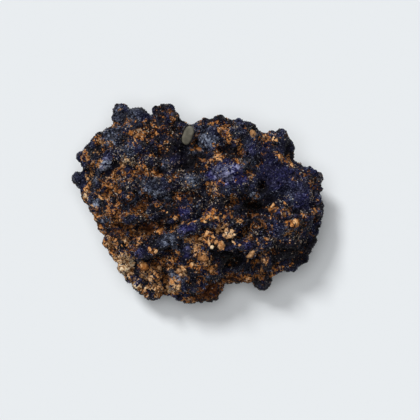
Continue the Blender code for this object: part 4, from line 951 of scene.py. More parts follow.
def skin_finish():
    """Azurite with clay in crisp patches."""
    made = Finish("azurite_and_clay", Roughness=0.6, Specular_IOR_Level=0.04)
    where = made.place_mm()
    cover = made.group(clay_cover, Place=where, Share=made.attribute("clay"))
    # light left after the painted shade of the listed places, hollows, sides and valleys
    left = made.group(light_left, "soot", "valley")["Left"]
    speckle = made.noise(where, *CRYSTAL_NOISE)
    fineness, strength = CRYSTAL_CELLS
    grains = made.add("ShaderNodeTexVoronoi", {"feature": "F1"}, Vector=where, Scale=fineness)
    grain_shade = made.add("ShaderNodeSeparateColor", Color=grains.outputs["Color"]).outputs[0]
    grain_shade = made.math("MULTIPLY", grain_shade, strength)
    shade = made.math("ADD", made.smooth_step(speckle, *CRYSTAL_STEP), grain_shade)
    edge = made.smooth_step(cover["Chance"], *DARK_EDGE)
    shade = made.math("MULTIPLY", shade, made.math("MULTIPLY", left, edge))
    blue = made.group(azurite_tone, "violet", "slate", "soot", Place=where, Shade=shade)["Colour"]
    tone = made.smooth_step(made.noise(where, *CLAY_TONES), *CLAY_TWO_TONES)
    for fineness, strength in CLAY_CLOUDS:
        cloud = made.math("SUBTRACT", made.noise(where, fineness, 3.0, 0.65), 0.5)
        tone = made.math("ADD", tone, made.math("MULTIPLY", cloud, strength))
    cream = made.attribute("cream")
    tone = made.math("ADD", made.math("MULTIPLY", tone, left), made.math("MULTIPLY", cream, CREAM_BRIGHTENS),
                     clamp=True)
    dust = made.smooth_step(made.noise(where, *DUST_NOISE), *DUST_STEP)
    dust = made.math("MULTIPLY", dust, made.math("SUBTRACT", 1.0, cream, clamp=True))
    earth = made.group(clay_tone, "rust", Shade=tone, Cream=cream, Dust=dust)["Colour"]
    made.colour(made.mix(cover["Mask"], blue, earth))
    made.roughness(made.smooth_step(cover["Mask"], 0.0, 1.0, *DULL))
    height = made.math("SUBTRACT", speckle, grains.outputs["Distance"])
    proud = made.math("MULTIPLY", cover["Mask"], CLAY_STANDS_PROUD)
    made.bump(made.math("ADD", height, proud), strength=0.9, distance=0.2 * MM)
    return made.material


SKIN_MATERIAL = skin_finish()
skin.data.materials.clear()
skin.data.materials.append(SKIN_MATERIAL)
skin.data.shade_smooth()
print("the skin's finish:", len(SKIN_MATERIAL.node_tree.nodes), "nodes")


# %% [markdown]
# ## The finish of the azurite grains
# Knobs are dull and velvety, because they are felted of needles. Single crystals have glassy faces, so they
# are lighter and glint. Both differ from grain to grain by the shade stored on each, are mottled, and carry
# a veil of clay dust where clay is near. One function with a few numbers makes both materials.

# %% The finishes of knobs and crystals
VEIL = (1.9, 3.0, 0.75)
GRAIN_CLOUD = (0.7, 2.0)
VEIL_STRENGTH = 2.2
MOTTLING_MEAN = 1.6  # of veil and cloud together, so that the mottling is as often dark as bright
GLOSS_VARIES = 0.2


def azurite_finish(name, roughness, gloss, dust=0.25, brightest=1.0, lit=1.0):
    """Azurite grains. Dust is how much more clay there must be before it dusts a grain."""
    made = Finish(name, Specular_IOR_Level=gloss)
    where = made.place_mm()
    veil = made.noise(where, *VEIL)
    cloud = made.noise(where, *GRAIN_CLOUD)
    mottling = made.math("ADD", made.math("MULTIPLY", veil, VEIL_STRENGTH), cloud)
    mottling = made.math("SUBTRACT", mottling, MOTTLING_MEAN)
    tone = made.math("MINIMUM", made.math("ADD", made.attribute("shade"), mottling), brightest)
    # light left after the painted shade of the listed places, hollows, sides and valleys
    left = made.math("MULTIPLY", made.group(light_left, "soot", "valley")["Left"], lit)
    tone = made.math("MULTIPLY", tone, left, clamp=True)
    blue = made.group(azurite_tone, "violet", "slate", "soot", Place=where, Shade=tone)["Colour"]
    near = made.math("SUBTRACT", made.attribute("clay"), dust)
    earth = made.group(clay_tone, "rust", "cream", Shade=veil)["Colour"]
    made.colour(made.mix(made.group(clay_cover, Place=where, Share=near)["Mask"], blue, earth))
    made.roughness(made.smooth_step(veil, 0.3, 0.7, roughness, roughness + GLOSS_VARIES))
    made.bump(veil, strength=0.5, distance=0.12 * MM)
    return made.material


KNOB_MATERIAL = azurite_finish("azurite_knobs", roughness=0.40, gloss=0.05, brightest=0.85, lit=0.86)
CRYSTAL_MATERIAL = azurite_finish("azurite_crystals", roughness=0.18, gloss=0.45, dust=0.6, lit=1.2)
print("finishes of the grains:", KNOB_MATERIAL.name, "and", CRYSTAL_MATERIAL.name)


# %% [markdown]
# ## The finish of loose clay
# A flake of clay is dull all over, of one tone of its own with darker and lighter clouds, and stained
# blue-black in a few spots. The tone is stored on each flake, so the material only clouds it.

# %% The finish of flakes and crumbs
LOOSE_DUST = (1.6, 4.0, 0.75)
LOOSE_CLOUD = (0.3, 2.0)
LOOSE_CLOUDINESS = 1.4
STAIN_NOISE = (1.3, 2.0)
STAIN_STEP = (0.62, 0.65)


def clay_finish():
    """Flakes and crumbs of clay, dusty and stained."""
    made = Finish("clay", Roughness=0.9, Specular_IOR_Level=0.03)
    where = made.place_mm()
    dust = made.noise(where, *LOOSE_DUST)
    cloud = made.noise(where, *LOOSE_CLOUD)
    wave = made.math("ADD", made.math("SUBTRACT", dust, 0.5), made.math("SUBTRACT", cloud, 0.5))
    tone = made.math("ADD", made.attribute("shade"), made.math("MULTIPLY", wave, LOOSE_CLOUDINESS))
    # light left after the painted shade of the listed places, hollows, sides and valleys
    tone = made.math("MULTIPLY", tone, made.group(light_left, "soot", "valley")["Left"], clamp=True)
    earth = made.group(clay_tone, "rust", "cream", Shade=tone)["Colour"]
    blue = made.group(azurite_tone, Place=where, Shade=dust)["Colour"]
    stain = made.smooth_step(made.noise(where, *STAIN_NOISE), *STAIN_STEP)
    made.colour(made.mix(stain, earth, blue))
    made.bump(dust, strength=0.8, distance=0.2 * MM)
    return made.material


CLAY_MATERIAL = clay_finish()
print("the clay's finish:", len(CLAY_MATERIAL.node_tree.nodes), "nodes")


# %% [markdown]
# ## The finishes of the pale specks and of the grey chip
# The specks are loose grains of quartz and clay, from tan to nearly white, each with its own tone. The chip
# is a fine-grained grey-green stone, worn dull, with clouds and grains of a lighter and a darker grey.

# %% The finishes of specks and chip
def speck_finish():
    """Pale grains, from tan to nearly white."""
    made = Finish("pale_specks", Roughness=0.6, Specular_IOR_Level=0.3)
    dust = made.noise(made.place_mm(), 3.4, 2.0)
    tone = made.math("ADD", made.attribute("shade"), made.math("SUBTRACT", dust, 0.5), clamp=True)
    made.colour(made.ramp(tone, (0.0, (0.16, 0.09, 0.05)), (0.5, (0.36, 0.27, 0.19)),
                          (1.0, (0.72, 0.65, 0.56))))
    return made.material


def chip_finish():
    """Worn stone, grey with a touch of green."""
    made = Finish("grey_stone", Roughness=0.7)
    where = made.place_mm()
    cloud = made.noise(where, 0.7, 3.0)
    grain = made.noise(where, 5.0, 2.0, 0.7)
    tone = made.math("ADD", made.math("MULTIPLY", cloud, 0.7), made.math("MULTIPLY", grain, 0.4))
    made.colour(made.ramp(tone, (0.2, (0.030, 0.025, 0.017)), (0.5, (0.092, 0.086, 0.062)),
                          (0.8, (0.20, 0.185, 0.14))))
    made.roughness(made.smooth_step(grain, 0.3, 0.7, 0.55, 0.85))
    made.bump(grain, strength=0.5, distance=0.06 * MM)
    return made.material


SPECK_MATERIAL = speck_finish()
CHIP_MATERIAL = chip_finish()
print("finishes:", SPECK_MATERIAL.name, "and", CHIP_MATERIAL.name)


# %% [markdown]
# ## Small shapes to scatter
# Six kinds of small bodies make up the surface. A knob is a round swelling of azurite, and a bud a small
# one. A crystal is a stubby blade with a wedge at its end. A flake is an angular plate of clay, a shard a
# long thin one, and a speck a tiny pale grain. Few triangles are enough for each, and several of each kind
# keep the crust from looking stamped. All are drawn one unit large, so that a scale is a size.

# %% The shapes
BLADES = (  # (length, width, height, length of the wedge's edge)
    (0.50, 0.40, 1.00, 0.20), (0.62, 0.34, 0.85, 0.45), (0.44, 0.44, 1.15, 0.05), (0.75, 0.30, 0.70, 0.50),
    (0.55, 0.50, 0.75, 0.15),
)
CORNERS = ((-1, -1), (1, -1), (1, 1), (-1, 1))
SHAPES_OF_A_KIND = 6


def closed_mesh(name, shape):
    bmesh.ops.triangulate(shape, faces=shape.faces[:])
    bmesh.ops.recalc_face_normals(shape, faces=shape.faces[:])
    mesh = bpy.data.meshes.new(name)
    shape.to_mesh(mesh)
    shape.free()
    return mesh


def blade_mesh(number):
    """A four-sided blade that ends in a wedge, standing on z = 0."""
    length, width, height, edge = BLADES[number % len(BLADES)]
    shape = bmesh.new()
    corners = [shape.verts.new((x * length / 2, y * width / 2, 0)) for x, y in CORNERS]
    left, right = (shape.verts.new((side * edge / 2, 0.06 * side, height)) for side in (-1, 1))
    shape.faces.new(corners[::-1])
    shape.faces.new((corners[0], corners[1], right, left))
    shape.faces.new((corners[2], corners[3], left, right))
    shape.faces.new((corners[1], corners[2], right))
    shape.faces.new((corners[3], corners[0], left))
    return closed_mesh(f"blade_{number}", shape)


def ball_mesh(number, fineness, roughness, flatness):
    """A ball pushed out of shape."""
    shape = bmesh.new()
    bmesh.ops.create_icosphere(shape, subdivisions=fineness, radius=0.5)
    for vertex in shape.verts:
        push = 1.0 + roughness * 2.0 * noise.noise(vertex.co * 3.1 + Vector((number * 7.3, 1.7, 4.1)))
        vertex.co = Vector((vertex.co.x, vertex.co.y, vertex.co.z * flatness)) * push
    return closed_mesh(f"ball_{number}", shape)


def add_plate(shape, number, corners, slender, thickness):
    """An angular plate with bevelled rims, one unit long, lying on z = 0."""
    luck = np.random.default_rng(100 + number)
    angles = (np.arange(corners) + luck.uniform(-0.3, 0.3, corners)) * math.tau / corners
    reaches = luck.uniform(0.28, 0.5, corners)
    rings = []
    for height, inset in ((-0.5 * thickness, 0.85), (0.0, 1.0), (0.5 * thickness, 0.75)):
        ring = [shape.verts.new((math.cos(angle) * reach * inset, math.sin(angle) * reach * inset / slender,
                                 height + 0.25 * thickness * luck.uniform(-1, 1)))
                for angle, reach in zip(angles, reaches)]
        rings.append(ring)
    for under, over in zip(rings, rings[1:]):
        for first in range(corners):
            second = (first + 1) % corners
            shape.faces.new((under[first], under[second], over[second], over[first]))
    shape.faces.new(rings[0][::-1])
    shape.faces.new(rings[-1])
    return [vertex for ring in rings for vertex in ring]


def plate_mesh(number, corners, slender, thickness):
    shape = bmesh.new()
    add_plate(shape, number, corners, slender, thickness)
    return closed_mesh(f"plate_{number}", shape)


def shape_collection(name, draw, *sizes):
    made = bpy.data.collections.new(name)
    for number in range(SHAPES_OF_A_KIND):
        mesh = draw(number, *sizes)
        made.objects.link(bpy.data.objects.new(f"{name}_{number}", mesh))
    return made


knobs = shape_collection("knobs", ball_mesh, 2, 0.22, 0.8)
buds = shape_collection("buds", ball_mesh, 1, 0.20, 0.85)
blades = shape_collection("blades", blade_mesh)
flakes = shape_collection("flakes", plate_mesh, 7, 1.4, 0.14)
shards = shape_collection("shards", plate_mesh, 5, 3.4, 0.22)
specks = shape_collection("specks", ball_mesh, 1, 0.35, 0.7)
print("shapes:", ", ".join(kind.name for kind in (knobs, buds, blades, flakes, shards, specks)))


# %% [markdown]
# ## A tree that grows grains on a skin
# Knobs, crystals, flakes and specks all grow by one rule, so one geometry tree makes them all: points at
# least a spacing apart, kept where the clay mask is on the wanted side, one small shape on each, tilted at
# random away from the skin's normal, and a random shade stored for the material. The instances are
# realized, because only real meshes are exported.

# %% The tree of grains
CROWDING = 1.6  # tries for each square of a spacing's side, of which the spacing leaves fewer

grain = Recipe(
    "grains_on_skin", "GeometryNodeTree",
    inputs=[("Skin", "NodeSocketGeometry", None), ("Where", "NodeSocketString", "above"),
            ("Clay side", "NodeSocketFloat", 0.5), ("Spacing", "NodeSocketFloat", 0.5 * MM),
            ("Smallest", "NodeSocketFloat", 0.4 * MM), ("Largest", "NodeSocketFloat", 0.9 * MM),
            ("Lean", "NodeSocketFloat", 0.8), ("Sink", "NodeSocketFloat", 0.1),
            ("Seed", "NodeSocketInt", 1), ("Darkest", "NodeSocketFloat", 0.0),
            ("Smooth", "NodeSocketBool", False), ("Shapes", "NodeSocketCollection", None),
            ("Finish", "NodeSocketMaterial", None)],
    outputs=[("Grains", "NodeSocketGeometry")],
)
where = grain.add("GeometryNodeInputNamedAttribute", Name=grain.given["Where"]).outputs["Attribute"]
area = grain.math("MULTIPLY", grain.given["Spacing"], grain.given["Spacing"])
density = grain.math("DIVIDE", CROWDING, area)
spread = grain.add("GeometryNodeDistributePointsOnFaces", {"distribute_method": "POISSON"},
                   Mesh=grain.given["Skin"], Distance_Min=grain.given["Spacing"], Density_Max=density,
                   Density_Factor=where, Seed=grain.given["Seed"])
place = grain.vector("SCALE", grain.add("GeometryNodeInputPosition").outputs[0], scale=1.0 / MM)
share = grain.add("GeometryNodeInputNamedAttribute", Name="clay").outputs["Attribute"]
mask = grain.smooth_step(clay_chance(grain, place, share), *CLAY_STEP)  # 1 on clay, 0 on azurite
side = grain.math("SUBTRACT", mask, grain.given["Clay side"])
wrong = grain.math("GREATER_THAN", grain.math("ABSOLUTE", side), 0.6)
kept = grain.add("GeometryNodeDeleteGeometry", {"domain": "POINT"}, Geometry=spread.outputs["Points"],
                 Selection=wrong)
size = grain.add("FunctionNodeRandomValue", {"data_type": "FLOAT"})
grain.feed(size.inputs[2], grain.given["Smallest"])
grain.feed(size.inputs[3], grain.given["Largest"])
grain.feed(size.inputs["Seed"], grain.math("ADD", grain.given["Seed"], 5))
sized = grain.add("GeometryNodeStoreNamedAttribute", {"data_type": "FLOAT", "domain": "POINT"},
                  Geometry=kept.outputs[0], Name="size", Value=size.outputs[1])
own_size = grain.add("GeometryNodeInputNamedAttribute", Name="size").outputs["Attribute"]
depth = grain.math("MULTIPLY", grain.math("MULTIPLY", own_size, grain.given["Sink"]), -1.0)
sunk = grain.add("GeometryNodeSetPosition", Geometry=sized.outputs[0],
                 Offset=grain.vector("SCALE", spread.outputs["Normal"], scale=depth))
lean = grain.add("ShaderNodeCombineXYZ", X=grain.given["Lean"], Y=grain.given["Lean"], Z=math.pi)
turn = grain.add("FunctionNodeRandomValue", {"data_type": "FLOAT_VECTOR"})
grain.feed(turn.inputs[0], grain.vector("SCALE", lean.outputs[0], scale=-1.0))
grain.feed(turn.inputs[1], lean.outputs[0])
grain.feed(turn.inputs["Seed"], grain.given["Seed"])
own = grain.add("FunctionNodeEulerToRotation", Euler=turn.outputs[0])
turned = grain.add("FunctionNodeRotateRotation", {"rotation_space": "LOCAL"},
                   Rotation=spread.outputs["Rotation"], Rotate_By=own.outputs[0])
shapes = grain.add("GeometryNodeCollectionInfo", Collection=grain.given["Shapes"], Separate_Children=True,
                   Reset_Children=True)
placed = grain.add("GeometryNodeInstanceOnPoints", Points=sunk.outputs["Geometry"],
                   Instance=shapes.outputs[0], Pick_Instance=True, Rotation=turned.outputs[0], Scale=own_size)
luck = grain.add("FunctionNodeRandomValue", {"data_type": "FLOAT"})
grain.feed(luck.inputs[2], grain.given["Darkest"])
grain.feed(luck.inputs["Seed"], grain.math("ADD", grain.given["Seed"], 9))
shaded = grain.add("GeometryNodeStoreNamedAttribute", {"data_type": "FLOAT", "domain": "INSTANCE"},
                   Geometry=placed.outputs[0], Name="shade", Value=luck.outputs[1])
real = grain.add("GeometryNodeRealizeInstances", Geometry=shaded.outputs[0])
smoothed = grain.add("GeometryNodeSetShadeSmooth", Geometry=real.outputs[0],
                     Shade_Smooth=grain.given["Smooth"])
done = grain.add("GeometryNodeSetMaterial", Geometry=smoothed.outputs[0], Material=grain.given["Finish"])
grain.feed(grain.result["Grains"], done.outputs[0])
print("the tree of grains has", len(grain.tree.nodes), "nodes")

# %% Growing one piece of grains
AZURITE, CLAY, BOTH = 0.0, 1.0, 0.5  # the clay mask on the wanted side
CLAY_DARKEST = 0.4


def grow_grains(name, where, clay_side, spacing, sizes, lean, sink, seed, shapes, finish, smooth=False):
    """A piece of grains grown on the skin, its sizes in mm."""
    darkest = CLAY_DARKEST if clay_side == CLAY else 0.0
    carrier = new_object("carrier", skin.data)
    smallest, largest = sizes
    add_tree(carrier, grain, Where=where, Clay_side=clay_side, Spacing=spacing * MM, Smallest=smallest * MM,
             Largest=largest * MM, Lean=lean, Sink=sink, Seed=seed, Darkest=darkest, Smooth=smooth,
             Shapes=shapes, Finish=finish)
    mesh = evaluated_mesh(carrier, name)
    bpy.data.objects.remove(carrier)
    print(name, "has", triangles(mesh), "triangles")
    return new_object(name, mesh)


# %% [markdown]
# ## Where the grains may grow
# Grains keep off the floor, and are finest on the upper side, where the specimen is looked at. Calm skin
# grows only the finest crystals, and the pale specks gather in their own patches.

# %% Chances for the grains
OFF_FLOOR = (1.2, 1.7)  # mm over the floor, where grains begin
CALM_LOSES_KNOBS = 0.75
CALM_LOSES_CRYSTALS = 0.6
SPECKS_EVERYWHERE = 0.04
SPECKS_IN_PATCHES = 0.9
SWARM_FINENESS = 0.7
SWARM_STEP = (-0.20, 0.35)

above, calm, speckle = (read(skin.data, name) for name in ("above", "calm", "speckle"))
points = rows(skin.data.vertices) / MM
off_floor = step(points[:, 2], *OFF_FLOOR)
lively = 1.0 - CALM_LOSES_KNOBS * calm
swarms = step(np.array([noise.noise(Vector(point) * SWARM_FINENESS) for point in points]), *SWARM_STEP)
store(skin.data, "lively_above", lively * above)
store(skin.data, "lively_below", lively * (1.0 - above) * off_floor)
store(skin.data, "all_above", (1.0 - CALM_LOSES_CRYSTALS * calm) * above)
store(skin.data, "all_below", (1.0 - above) * off_floor)
store(skin.data, "specks_above", (SPECKS_EVERYWHERE + SPECKS_IN_PATCHES * speckle) * swarms * above)
print("the skin that grows crystals:", f"{read(skin.data, 'all_above').mean():.2f} of its points above and",
      f"{read(skin.data, 'all_below').mean():.2f} below")


# %% [markdown]
# ## Knobs and buds
# The crust's knobs stand shoulder to shoulder, and small buds fill the gaps between them. They could be
# modelled one by one, but thousands of them follow one rule, so the tree grows them: spaced like their own
# size and sunk by a quarter, so that they look grown together. Below, they are fewer and larger.

# %% Growing the knobs
pieces = [
    grow_grains("azurite_knobs_above", "lively_above", AZURITE, spacing=1.30, sizes=(0.9, 1.9), lean=0.4,
                sink=0.28, seed=3, shapes=knobs, finish=KNOB_MATERIAL, smooth=True),
    grow_grains("azurite_buds_above", "lively_above", AZURITE, spacing=0.72, sizes=(0.4, 0.95), lean=0.6,
                sink=0.10, seed=4, shapes=buds, finish=KNOB_MATERIAL, smooth=True),
    grow_grains("azurite_knobs_below", "lively_below", AZURITE, spacing=1.5, sizes=(1.2, 2.1), lean=0.4,
                sink=0.28, seed=13, shapes=knobs, finish=KNOB_MATERIAL, smooth=True),
    grow_grains("azurite_buds_below", "all_below", AZURITE, spacing=0.85, sizes=(0.6, 1.1), lean=0.6,
                sink=0.15, seed=14, shapes=buds, finish=KNOB_MATERIAL, smooth=True),
]


# %% [markdown]
# ## Crystals
# Between the knobs the azurite ends in single blades, which glint. They stand at all angles, so they lean
# far from the skin's normal, and they grow on calm skin too.

# %% Growing the crystals
pieces += [
    grow_grains("azurite_crystals_above", "all_above", AZURITE, spacing=0.50, sizes=(0.28, 0.52), lean=0.9,
                sink=0.0, seed=5, shapes=blades, finish=CRYSTAL_MATERIAL),
]


# %% [markdown]
# ## Clay flakes, shards and crumbs
# Dried clay cracks into plates with crisp rims, and long shards stand up between them. They lie nearly flat
# on the clay side of the mask. On the sides and below, where nothing sheltered it, the clay has also broken
# into crumbs.

# %% Growing the clay's bits
pieces += [
    grow_grains("clay_flakes_above", "all_above", CLAY, spacing=2.4, sizes=(0.8, 2.2), lean=0.25,
                sink=0.04, seed=23, shapes=flakes, finish=CLAY_MATERIAL),
    grow_grains("clay_shards_above", "all_above", CLAY, spacing=1.2, sizes=(0.5, 1.6), lean=0.5,
                sink=-0.05, seed=24, shapes=shards, finish=CLAY_MATERIAL),
    grow_grains("clay_flakes_below", "all_below", CLAY, spacing=1.3, sizes=(0.9, 2.2), lean=0.4,
                sink=0.05, seed=33, shapes=flakes, finish=CLAY_MATERIAL),
    grow_grains("clay_crumbs_below", "all_below", CLAY, spacing=0.95, sizes=(0.4, 0.8), lean=3.0,
                sink=0.1, seed=35, shapes=buds, finish=CLAY_MATERIAL),
]


# %% [markdown]
# ## Pale specks
# Fine pale grains are strewn in swarms over azurite and clay alike. They lie on top of everything else, so
# they aren't sunk but raised by a third of their size.

# %% Growing the specks
pieces += [
    grow_grains("pale_specks_above", "specks_above", BOTH, spacing=0.40, sizes=(0.24, 0.48), lean=3.0,
                sink=-0.35, seed=43, shapes=specks, finish=SPECK_MATERIAL),
]


# %% [markdown]
# ## Nuggets and flakes of clay
# The larger bits of clay are each at a place of their own: cream nuggets in a cluster on the south side, an
# orange ball, tan strips, and smooth orange flakes in the north-west. A nugget is a fine ball pushed out of
# shape, a flake an angular plate. A ray from above finds the skin under it, and it is laid down there,
# partly sunk, leaning half as much as the skin does.

# %% The nuggets and the flakes
# (across, down, half length, half width, turn, cream, rust, shade) in the plan's steps, degrees and shares
NUGGETS = [
    (226, 229, 2.8, 2.3, 0, 0.8, 0, 0.75), (231, 230, 2.4, 2.4, 0, 0.8, 0, 0.9),
    (229.5, 234.5, 2.8, 2.3, 10, 0.8, 0, 0.7), (223.8, 233.5, 1.9, 2, 0, 0.8, 0, 0.65),
    (233.5, 232.5, 1.9, 1.6, 0, 0.8, 0, 0.8), (221, 243, 4, 4, 20, 0.2, 0.1, 0.85),
    (212, 245, 2.1, 2.1, 0, 0.9, 0, 0.9), (187, 236, 2.4, 2.4, 0, 1, 0, 0.55),
    (146, 264, 4.6, 4.2, 0, 0, 0.25, 0.8), (160, 266, 2.2, 2.2, 0, 0.8, 0, 0.8),
    (250, 252, 4.8, 2.6, -5, 0.9, 0, 0.62), (252, 135, 3.4, 4.4, 25, 0.9, 0, 0.45),
    (116, 256, 2, 2.4, 0, 1, 0, 0.8), (200, 243, 1.6, 1.6, 0, 0.9, 0, 0.8),
    (128, 160, 1.4, 1.2, 0, 0.8, 0, 0.8), (134, 162, 1.4, 1.2, 0, 0.9, 0, 0.85),
    (142, 163, 1.2, 1.2, 0, 0.7, 0, 0.8), (196, 185, 1.3, 1.2, 0, 0.9, 0, 0.9),
    (176, 218, 1.6, 1.4, 0, 0.8, 0, 0.7),
]
FLAKES = [
    (216, 240, 2.6, 3, 0, 0.3, 0, 0.75), (207, 232, 5.6, 2, 15, 0.3, 0, 0.8),
    (202, 237, 2, 4.6, 0, 0.3, 0, 0.75), (209, 240, 5, 1.8, -20, 0.3, 0, 0.75),
    (213, 235, 2.4, 2.6, 30, 0.1, 0, 0.8), (196, 247, 3.6, 2.6, 0, 0.5, 0, 0.88),
    (222, 225, 6.4, 2.3, 35, 0.25, 0, 0.85), (233, 241, 3.4, 1.8, -15, 0.3, 0, 0.85),
    (238, 243, 2.8, 1.5, 20, 0.3, 0, 0.8), (204, 256, 5.6, 4, -45, 0.35, 0.15, 0.33),
    (247, 258, 3.4, 1.3, 20, 0.4, 0, 0.75), (277, 157, 3.4, 1.8, -25, 0.1, 0, 0.88),
    (290, 165, 2.6, 2, -50, 0.3, 0, 0.85), (293, 220, 3.6, 2.6, 20, 0.1, 0, 0.88),
    (290, 224, 2.6, 2.2, 0, 0, 0, 0.8), (151.5, 247.3, 3.4, 1.9, -40, 0.15, 0, 0.85),
    (157, 249.8, 3.8, 1.9, 8, 0.15, 0, 0.85), (161, 229, 4.6, 2, 25, 0, 0, 0.72),
    (193, 221, 6, 0.9, 12, 0.2, 0, 0.8), (205, 213, 2, 4, -20, 0, 0, 0.78),
    (199, 149, 3.2, 2.4, -20, 0, 0.2, 0.85), (272, 140, 3.4, 1.5, 10, 0.2, 0, 0.85),
    (133, 134, 2.2, 3.4, 0, 0, 0, 0.8), (143, 135, 1.8, 3.4, 0, 0.1, 0, 0.8),
    (173, 279, 3.8, 2.6, 20, 0.15, 0, 0.88), (179, 285, 2.8, 3.8, 0, 0.2, 0, 0.82),
    (168, 285, 2.6, 3.4, 0, 0.3, 0, 0.95), (184, 266, 3.8, 2.6, 0, 0.2, 0, 0.82),
    (103, 197, 5, 1.7, 0, 0, 0, 0.85), (213, 212, 4.4, 2, 15, 0, 0, 0.7),
    (208, 216, 3.4, 2, -10, 0, 0, 0.8), (217, 217, 3.2, 1.8, 25, 0.1, 0, 0.68),
    (217, 157, 4, 2.6, 0, 0.3, 0, 0.82), (222, 130, 3.8, 2.6, 20, 0.1, 0, 0.84),
    (271, 205, 3.6, 2, 0, 0.1, 0, 0.82), (283, 203, 1.4, 3.4, 10, 0.2, 0, 0.62),
    (212, 268, 3.2, 3, 0, 0.1, 0, 0.8), (192, 262, 3.6, 2.6, 20, 0.1, 0, 0.84),
    (118, 245, 4, 2.6, 0, 0.3, 0, 0.78), (176, 216, 1.6, 3, 20, 0.1, 0, 0.78),
    (178, 250, 2.4, 2.6, 0, 0, 0, 0.75),
]
NUGGET_BUMPS = ((1.7, 0.28), (4.3, 0.16))  # (how fine, how high for its size)
NUGGET_SUNK = 0.35
FLAKE_CORNERS = 9
FLAKE_THICKNESS = 0.16
FLAKE_REACH = 2.2  # times a flake's half sizes, for the unit plate
FLAKE_RAISED = 0.12


def half_size(steps):
    """A bit's half size in mm, to two digits."""
    return float(f"{steps / PLAN_STEPS:.2g}")


def resting_place(x, y, turn, sunk):
    """Where a bit lies on the skin under a point, as a matrix."""
    _, surface, normal, _ = skin.ray_cast(Vector((x * MM, y * MM, 1.0)), Vector((0.0, 0.0, -1.0)))
    upright = normal.lerp(Vector((0.0, 0.0, 1.0)), 0.5)
    lying = upright.to_track_quat("Z", "Y").to_matrix().to_4x4()
    return Matrix.Translation(surface - upright * sunk) @ lying @ Matrix.Rotation(math.radians(turn), 4, "Z")


def stretched(point, length, width):
    """A point of a unit shape, at the bit's own sizes and as high as its short side."""
    return Vector((point.x * length, point.y * width, point.z * min(length, width)))


def add_nugget(shape, number, length, width):
    ball = bmesh.ops.create_icosphere(shape, subdivisions=3, radius=1.0)["verts"]
    corner = Vector((number * 5.1, 2.3, 0.7))
    for vertex in ball:
        push = 1.0 + sum(high * noise.noise(vertex.co * fine + corner) for fine, high in NUGGET_BUMPS)
        vertex.co = stretched(vertex.co, length, width) * push
    return ball


def add_flake(shape, number, length, width):
    plate = add_plate(shape, number, FLAKE_CORNERS, 1.0, FLAKE_THICKNESS)
    for vertex in plate:
        vertex.co = stretched(vertex.co, length, width) * FLAKE_REACH
    return plate


def lay_bits(name, bits, add_bit, sunk, smooth):
    """A piece of single bits of clay, each with its own tone."""
    laying = bmesh.new()
    own = [laying.verts.layers.float.new(key) for key in ("cream", "rust", "shade")]
    for number, (across, down, length, width, turn, *tone) in enumerate(bits):
        length, width = half_size(length), half_size(width)
        matrix = resting_place(*on_specimen(across, down), turn, sunk * min(length, width) * MM)
        for vertex in add_bit(laying, number, length * MM, width * MM):
            vertex.co = matrix @ vertex.co
            for layer, value in zip(own, tone):
                vertex[layer] = value
    mesh = closed_mesh(name, laying)
    mesh.materials.append(CLAY_MATERIAL)
    if smooth:
        mesh.shade_smooth()
    print(name, "has", triangles(mesh), "triangles")
    return new_object(name, mesh)


pieces.append(lay_bits("clay_nuggets", NUGGETS, add_nugget, NUGGET_SUNK, smooth=True))
pieces.append(lay_bits("clay_flakes", FLAKES, add_flake, -FLAKE_RAISED, smooth=False))


# %% [markdown]
# ## The chip of grey stone
# The chip is a smooth oval tablet, worn before it was caught in the cleft. Its packed solid has the form,
# so its copy only gets an even fine mesh, softened, with shallow dents from a noise texture.

# %% The chip
CHIP_VOXEL = 0.16 * MM
CHIP_ROUNDS = 6
chip = new_object("grey_stone_chip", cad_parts["stone_chip"].data.copy())
cover_evenly(chip, CHIP_VOXEL, CHIP_ROUNDS)
chip.data.materials.clear()
chip.data.materials.append(CHIP_MATERIAL)
chip.data.shade_smooth()
print("the chip has", triangles(chip.data), "triangles")


# %% [markdown]
# ## Floor, light and camera
# The specimen lies on a plain pale surface under soft studio light from the upper left, and the camera
# looks straight down on it.

# %% The stage
PAGE = 138.8 * MM  # the width that the camera takes in, at the height of the specimen's widest part
WIDEST = 15.0 * MM
VIEW_CENTRE = Vector((4.08, -1.95, 0.0)) * MM
LENS = 150.0
SENSOR = 36.0
FLOOR_COLOUR = (0.815, 0.847, 0.871, 1.0)
KEY_DIRECTION = 124.0  # where the light comes from, in degrees turned from +X
KEY_ELEVATION = 50.0
KEY_SOFTNESS = 14.0
KEY_SHARE = 0.46  # of the light on the floor
TOP_ELEVATION = 84.0
TOP_SOFTNESS = 45.0
TOP_SHARE = 0.48


def floor_mesh(size):
    shape = bmesh.new()
    bmesh.ops.create_grid(shape, x_segments=1, y_segments=1, size=size / 2)
    mesh = bpy.data.meshes.new("floor")
    shape.to_mesh(mesh)
    shape.free()
    return mesh


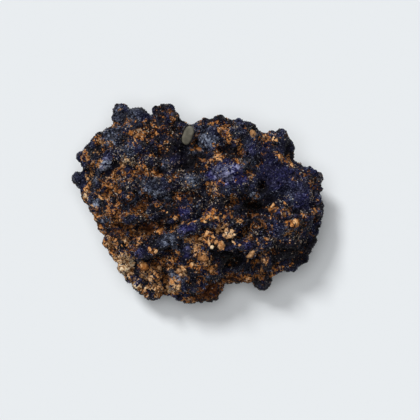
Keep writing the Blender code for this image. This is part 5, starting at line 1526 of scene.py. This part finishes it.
paper = Finish("pale_paper", Roughness=0.8)
paper.shader.inputs["Base Color"].default_value = FLOOR_COLOUR
paper.shader.inputs["Specular IOR Level"].default_value = 0.0
floor = new_object("floor", floor_mesh(3.0))
floor.data.materials.append(paper.material)
floor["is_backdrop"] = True


def sky_light(name, direction, elevation, softness, share):
    """A far light that gives its share of the floor's brightness."""
    light = bpy.data.lights.new(name, "SUN")
    light.energy = share * math.pi / math.sin(math.radians(elevation))
    light.angle = math.radians(softness)
    made = bpy.data.objects.new(name, light)
    bpy.context.scene.collection.objects.link(made)
    turned, raised = math.radians(direction), math.radians(elevation)
    level = math.cos(raised)
    toward = Vector((math.cos(turned) * level, math.sin(turned) * level, math.sin(raised)))
    made.rotation_euler = toward.to_track_quat("Z", "Y").to_euler()


sky_light("key", KEY_DIRECTION, KEY_ELEVATION, KEY_SOFTNESS, KEY_SHARE)
sky_light("top", KEY_DIRECTION, TOP_ELEVATION, TOP_SOFTNESS, TOP_SHARE)
world = bpy.data.worlds.new("studio")
world.use_nodes = True
world.node_tree.nodes["Background"].inputs["Color"].default_value = (1.0, 1.0, 1.0, 1.0)
world.node_tree.nodes["Background"].inputs["Strength"].default_value = 1.0 - KEY_SHARE - TOP_SHARE
bpy.context.scene.world = world

camera = bpy.data.objects.new("camera", bpy.data.cameras.new("camera"))
bpy.context.scene.collection.objects.link(camera)
camera.data.lens = LENS
camera.data.sensor_width = SENSOR
distance = PAGE * LENS / SENSOR
camera.location = VIEW_CENTRE + Vector((0.0, 0.0, WIDEST + distance))
camera.rotation_euler = (0.0, 0.0, 0.0)
camera.data.clip_end = 10.0
bpy.context.scene.camera = camera
bpy.context.scene.view_settings.view_transform = "Standard"
print("the camera is", round(camera.location.z / MM), "mm up")


# %% [markdown]
# ## Hand over
# Every piece rides on the specimen's one body. The skin stands for the packed cluster, and the fine chip
# for the packed chip.

# %% Hand over
for piece in pieces:
    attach(piece, "root")
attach(skin, "root")
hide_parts("azurite_cluster")
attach(chip, "root")
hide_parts("stone_chip")
print("all pieces:", sum(triangles(one.data) for one in [skin, chip, *pieces]), "triangles")
low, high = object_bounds()
sizes = {"cad": [list(cad_low), list(cad_high)], "visual": [list(low), list(high)]}
print("past the CAD box, mm:", [round(value / MM, 2) for value in (*(cad_low - low), *(high - cad_high))])
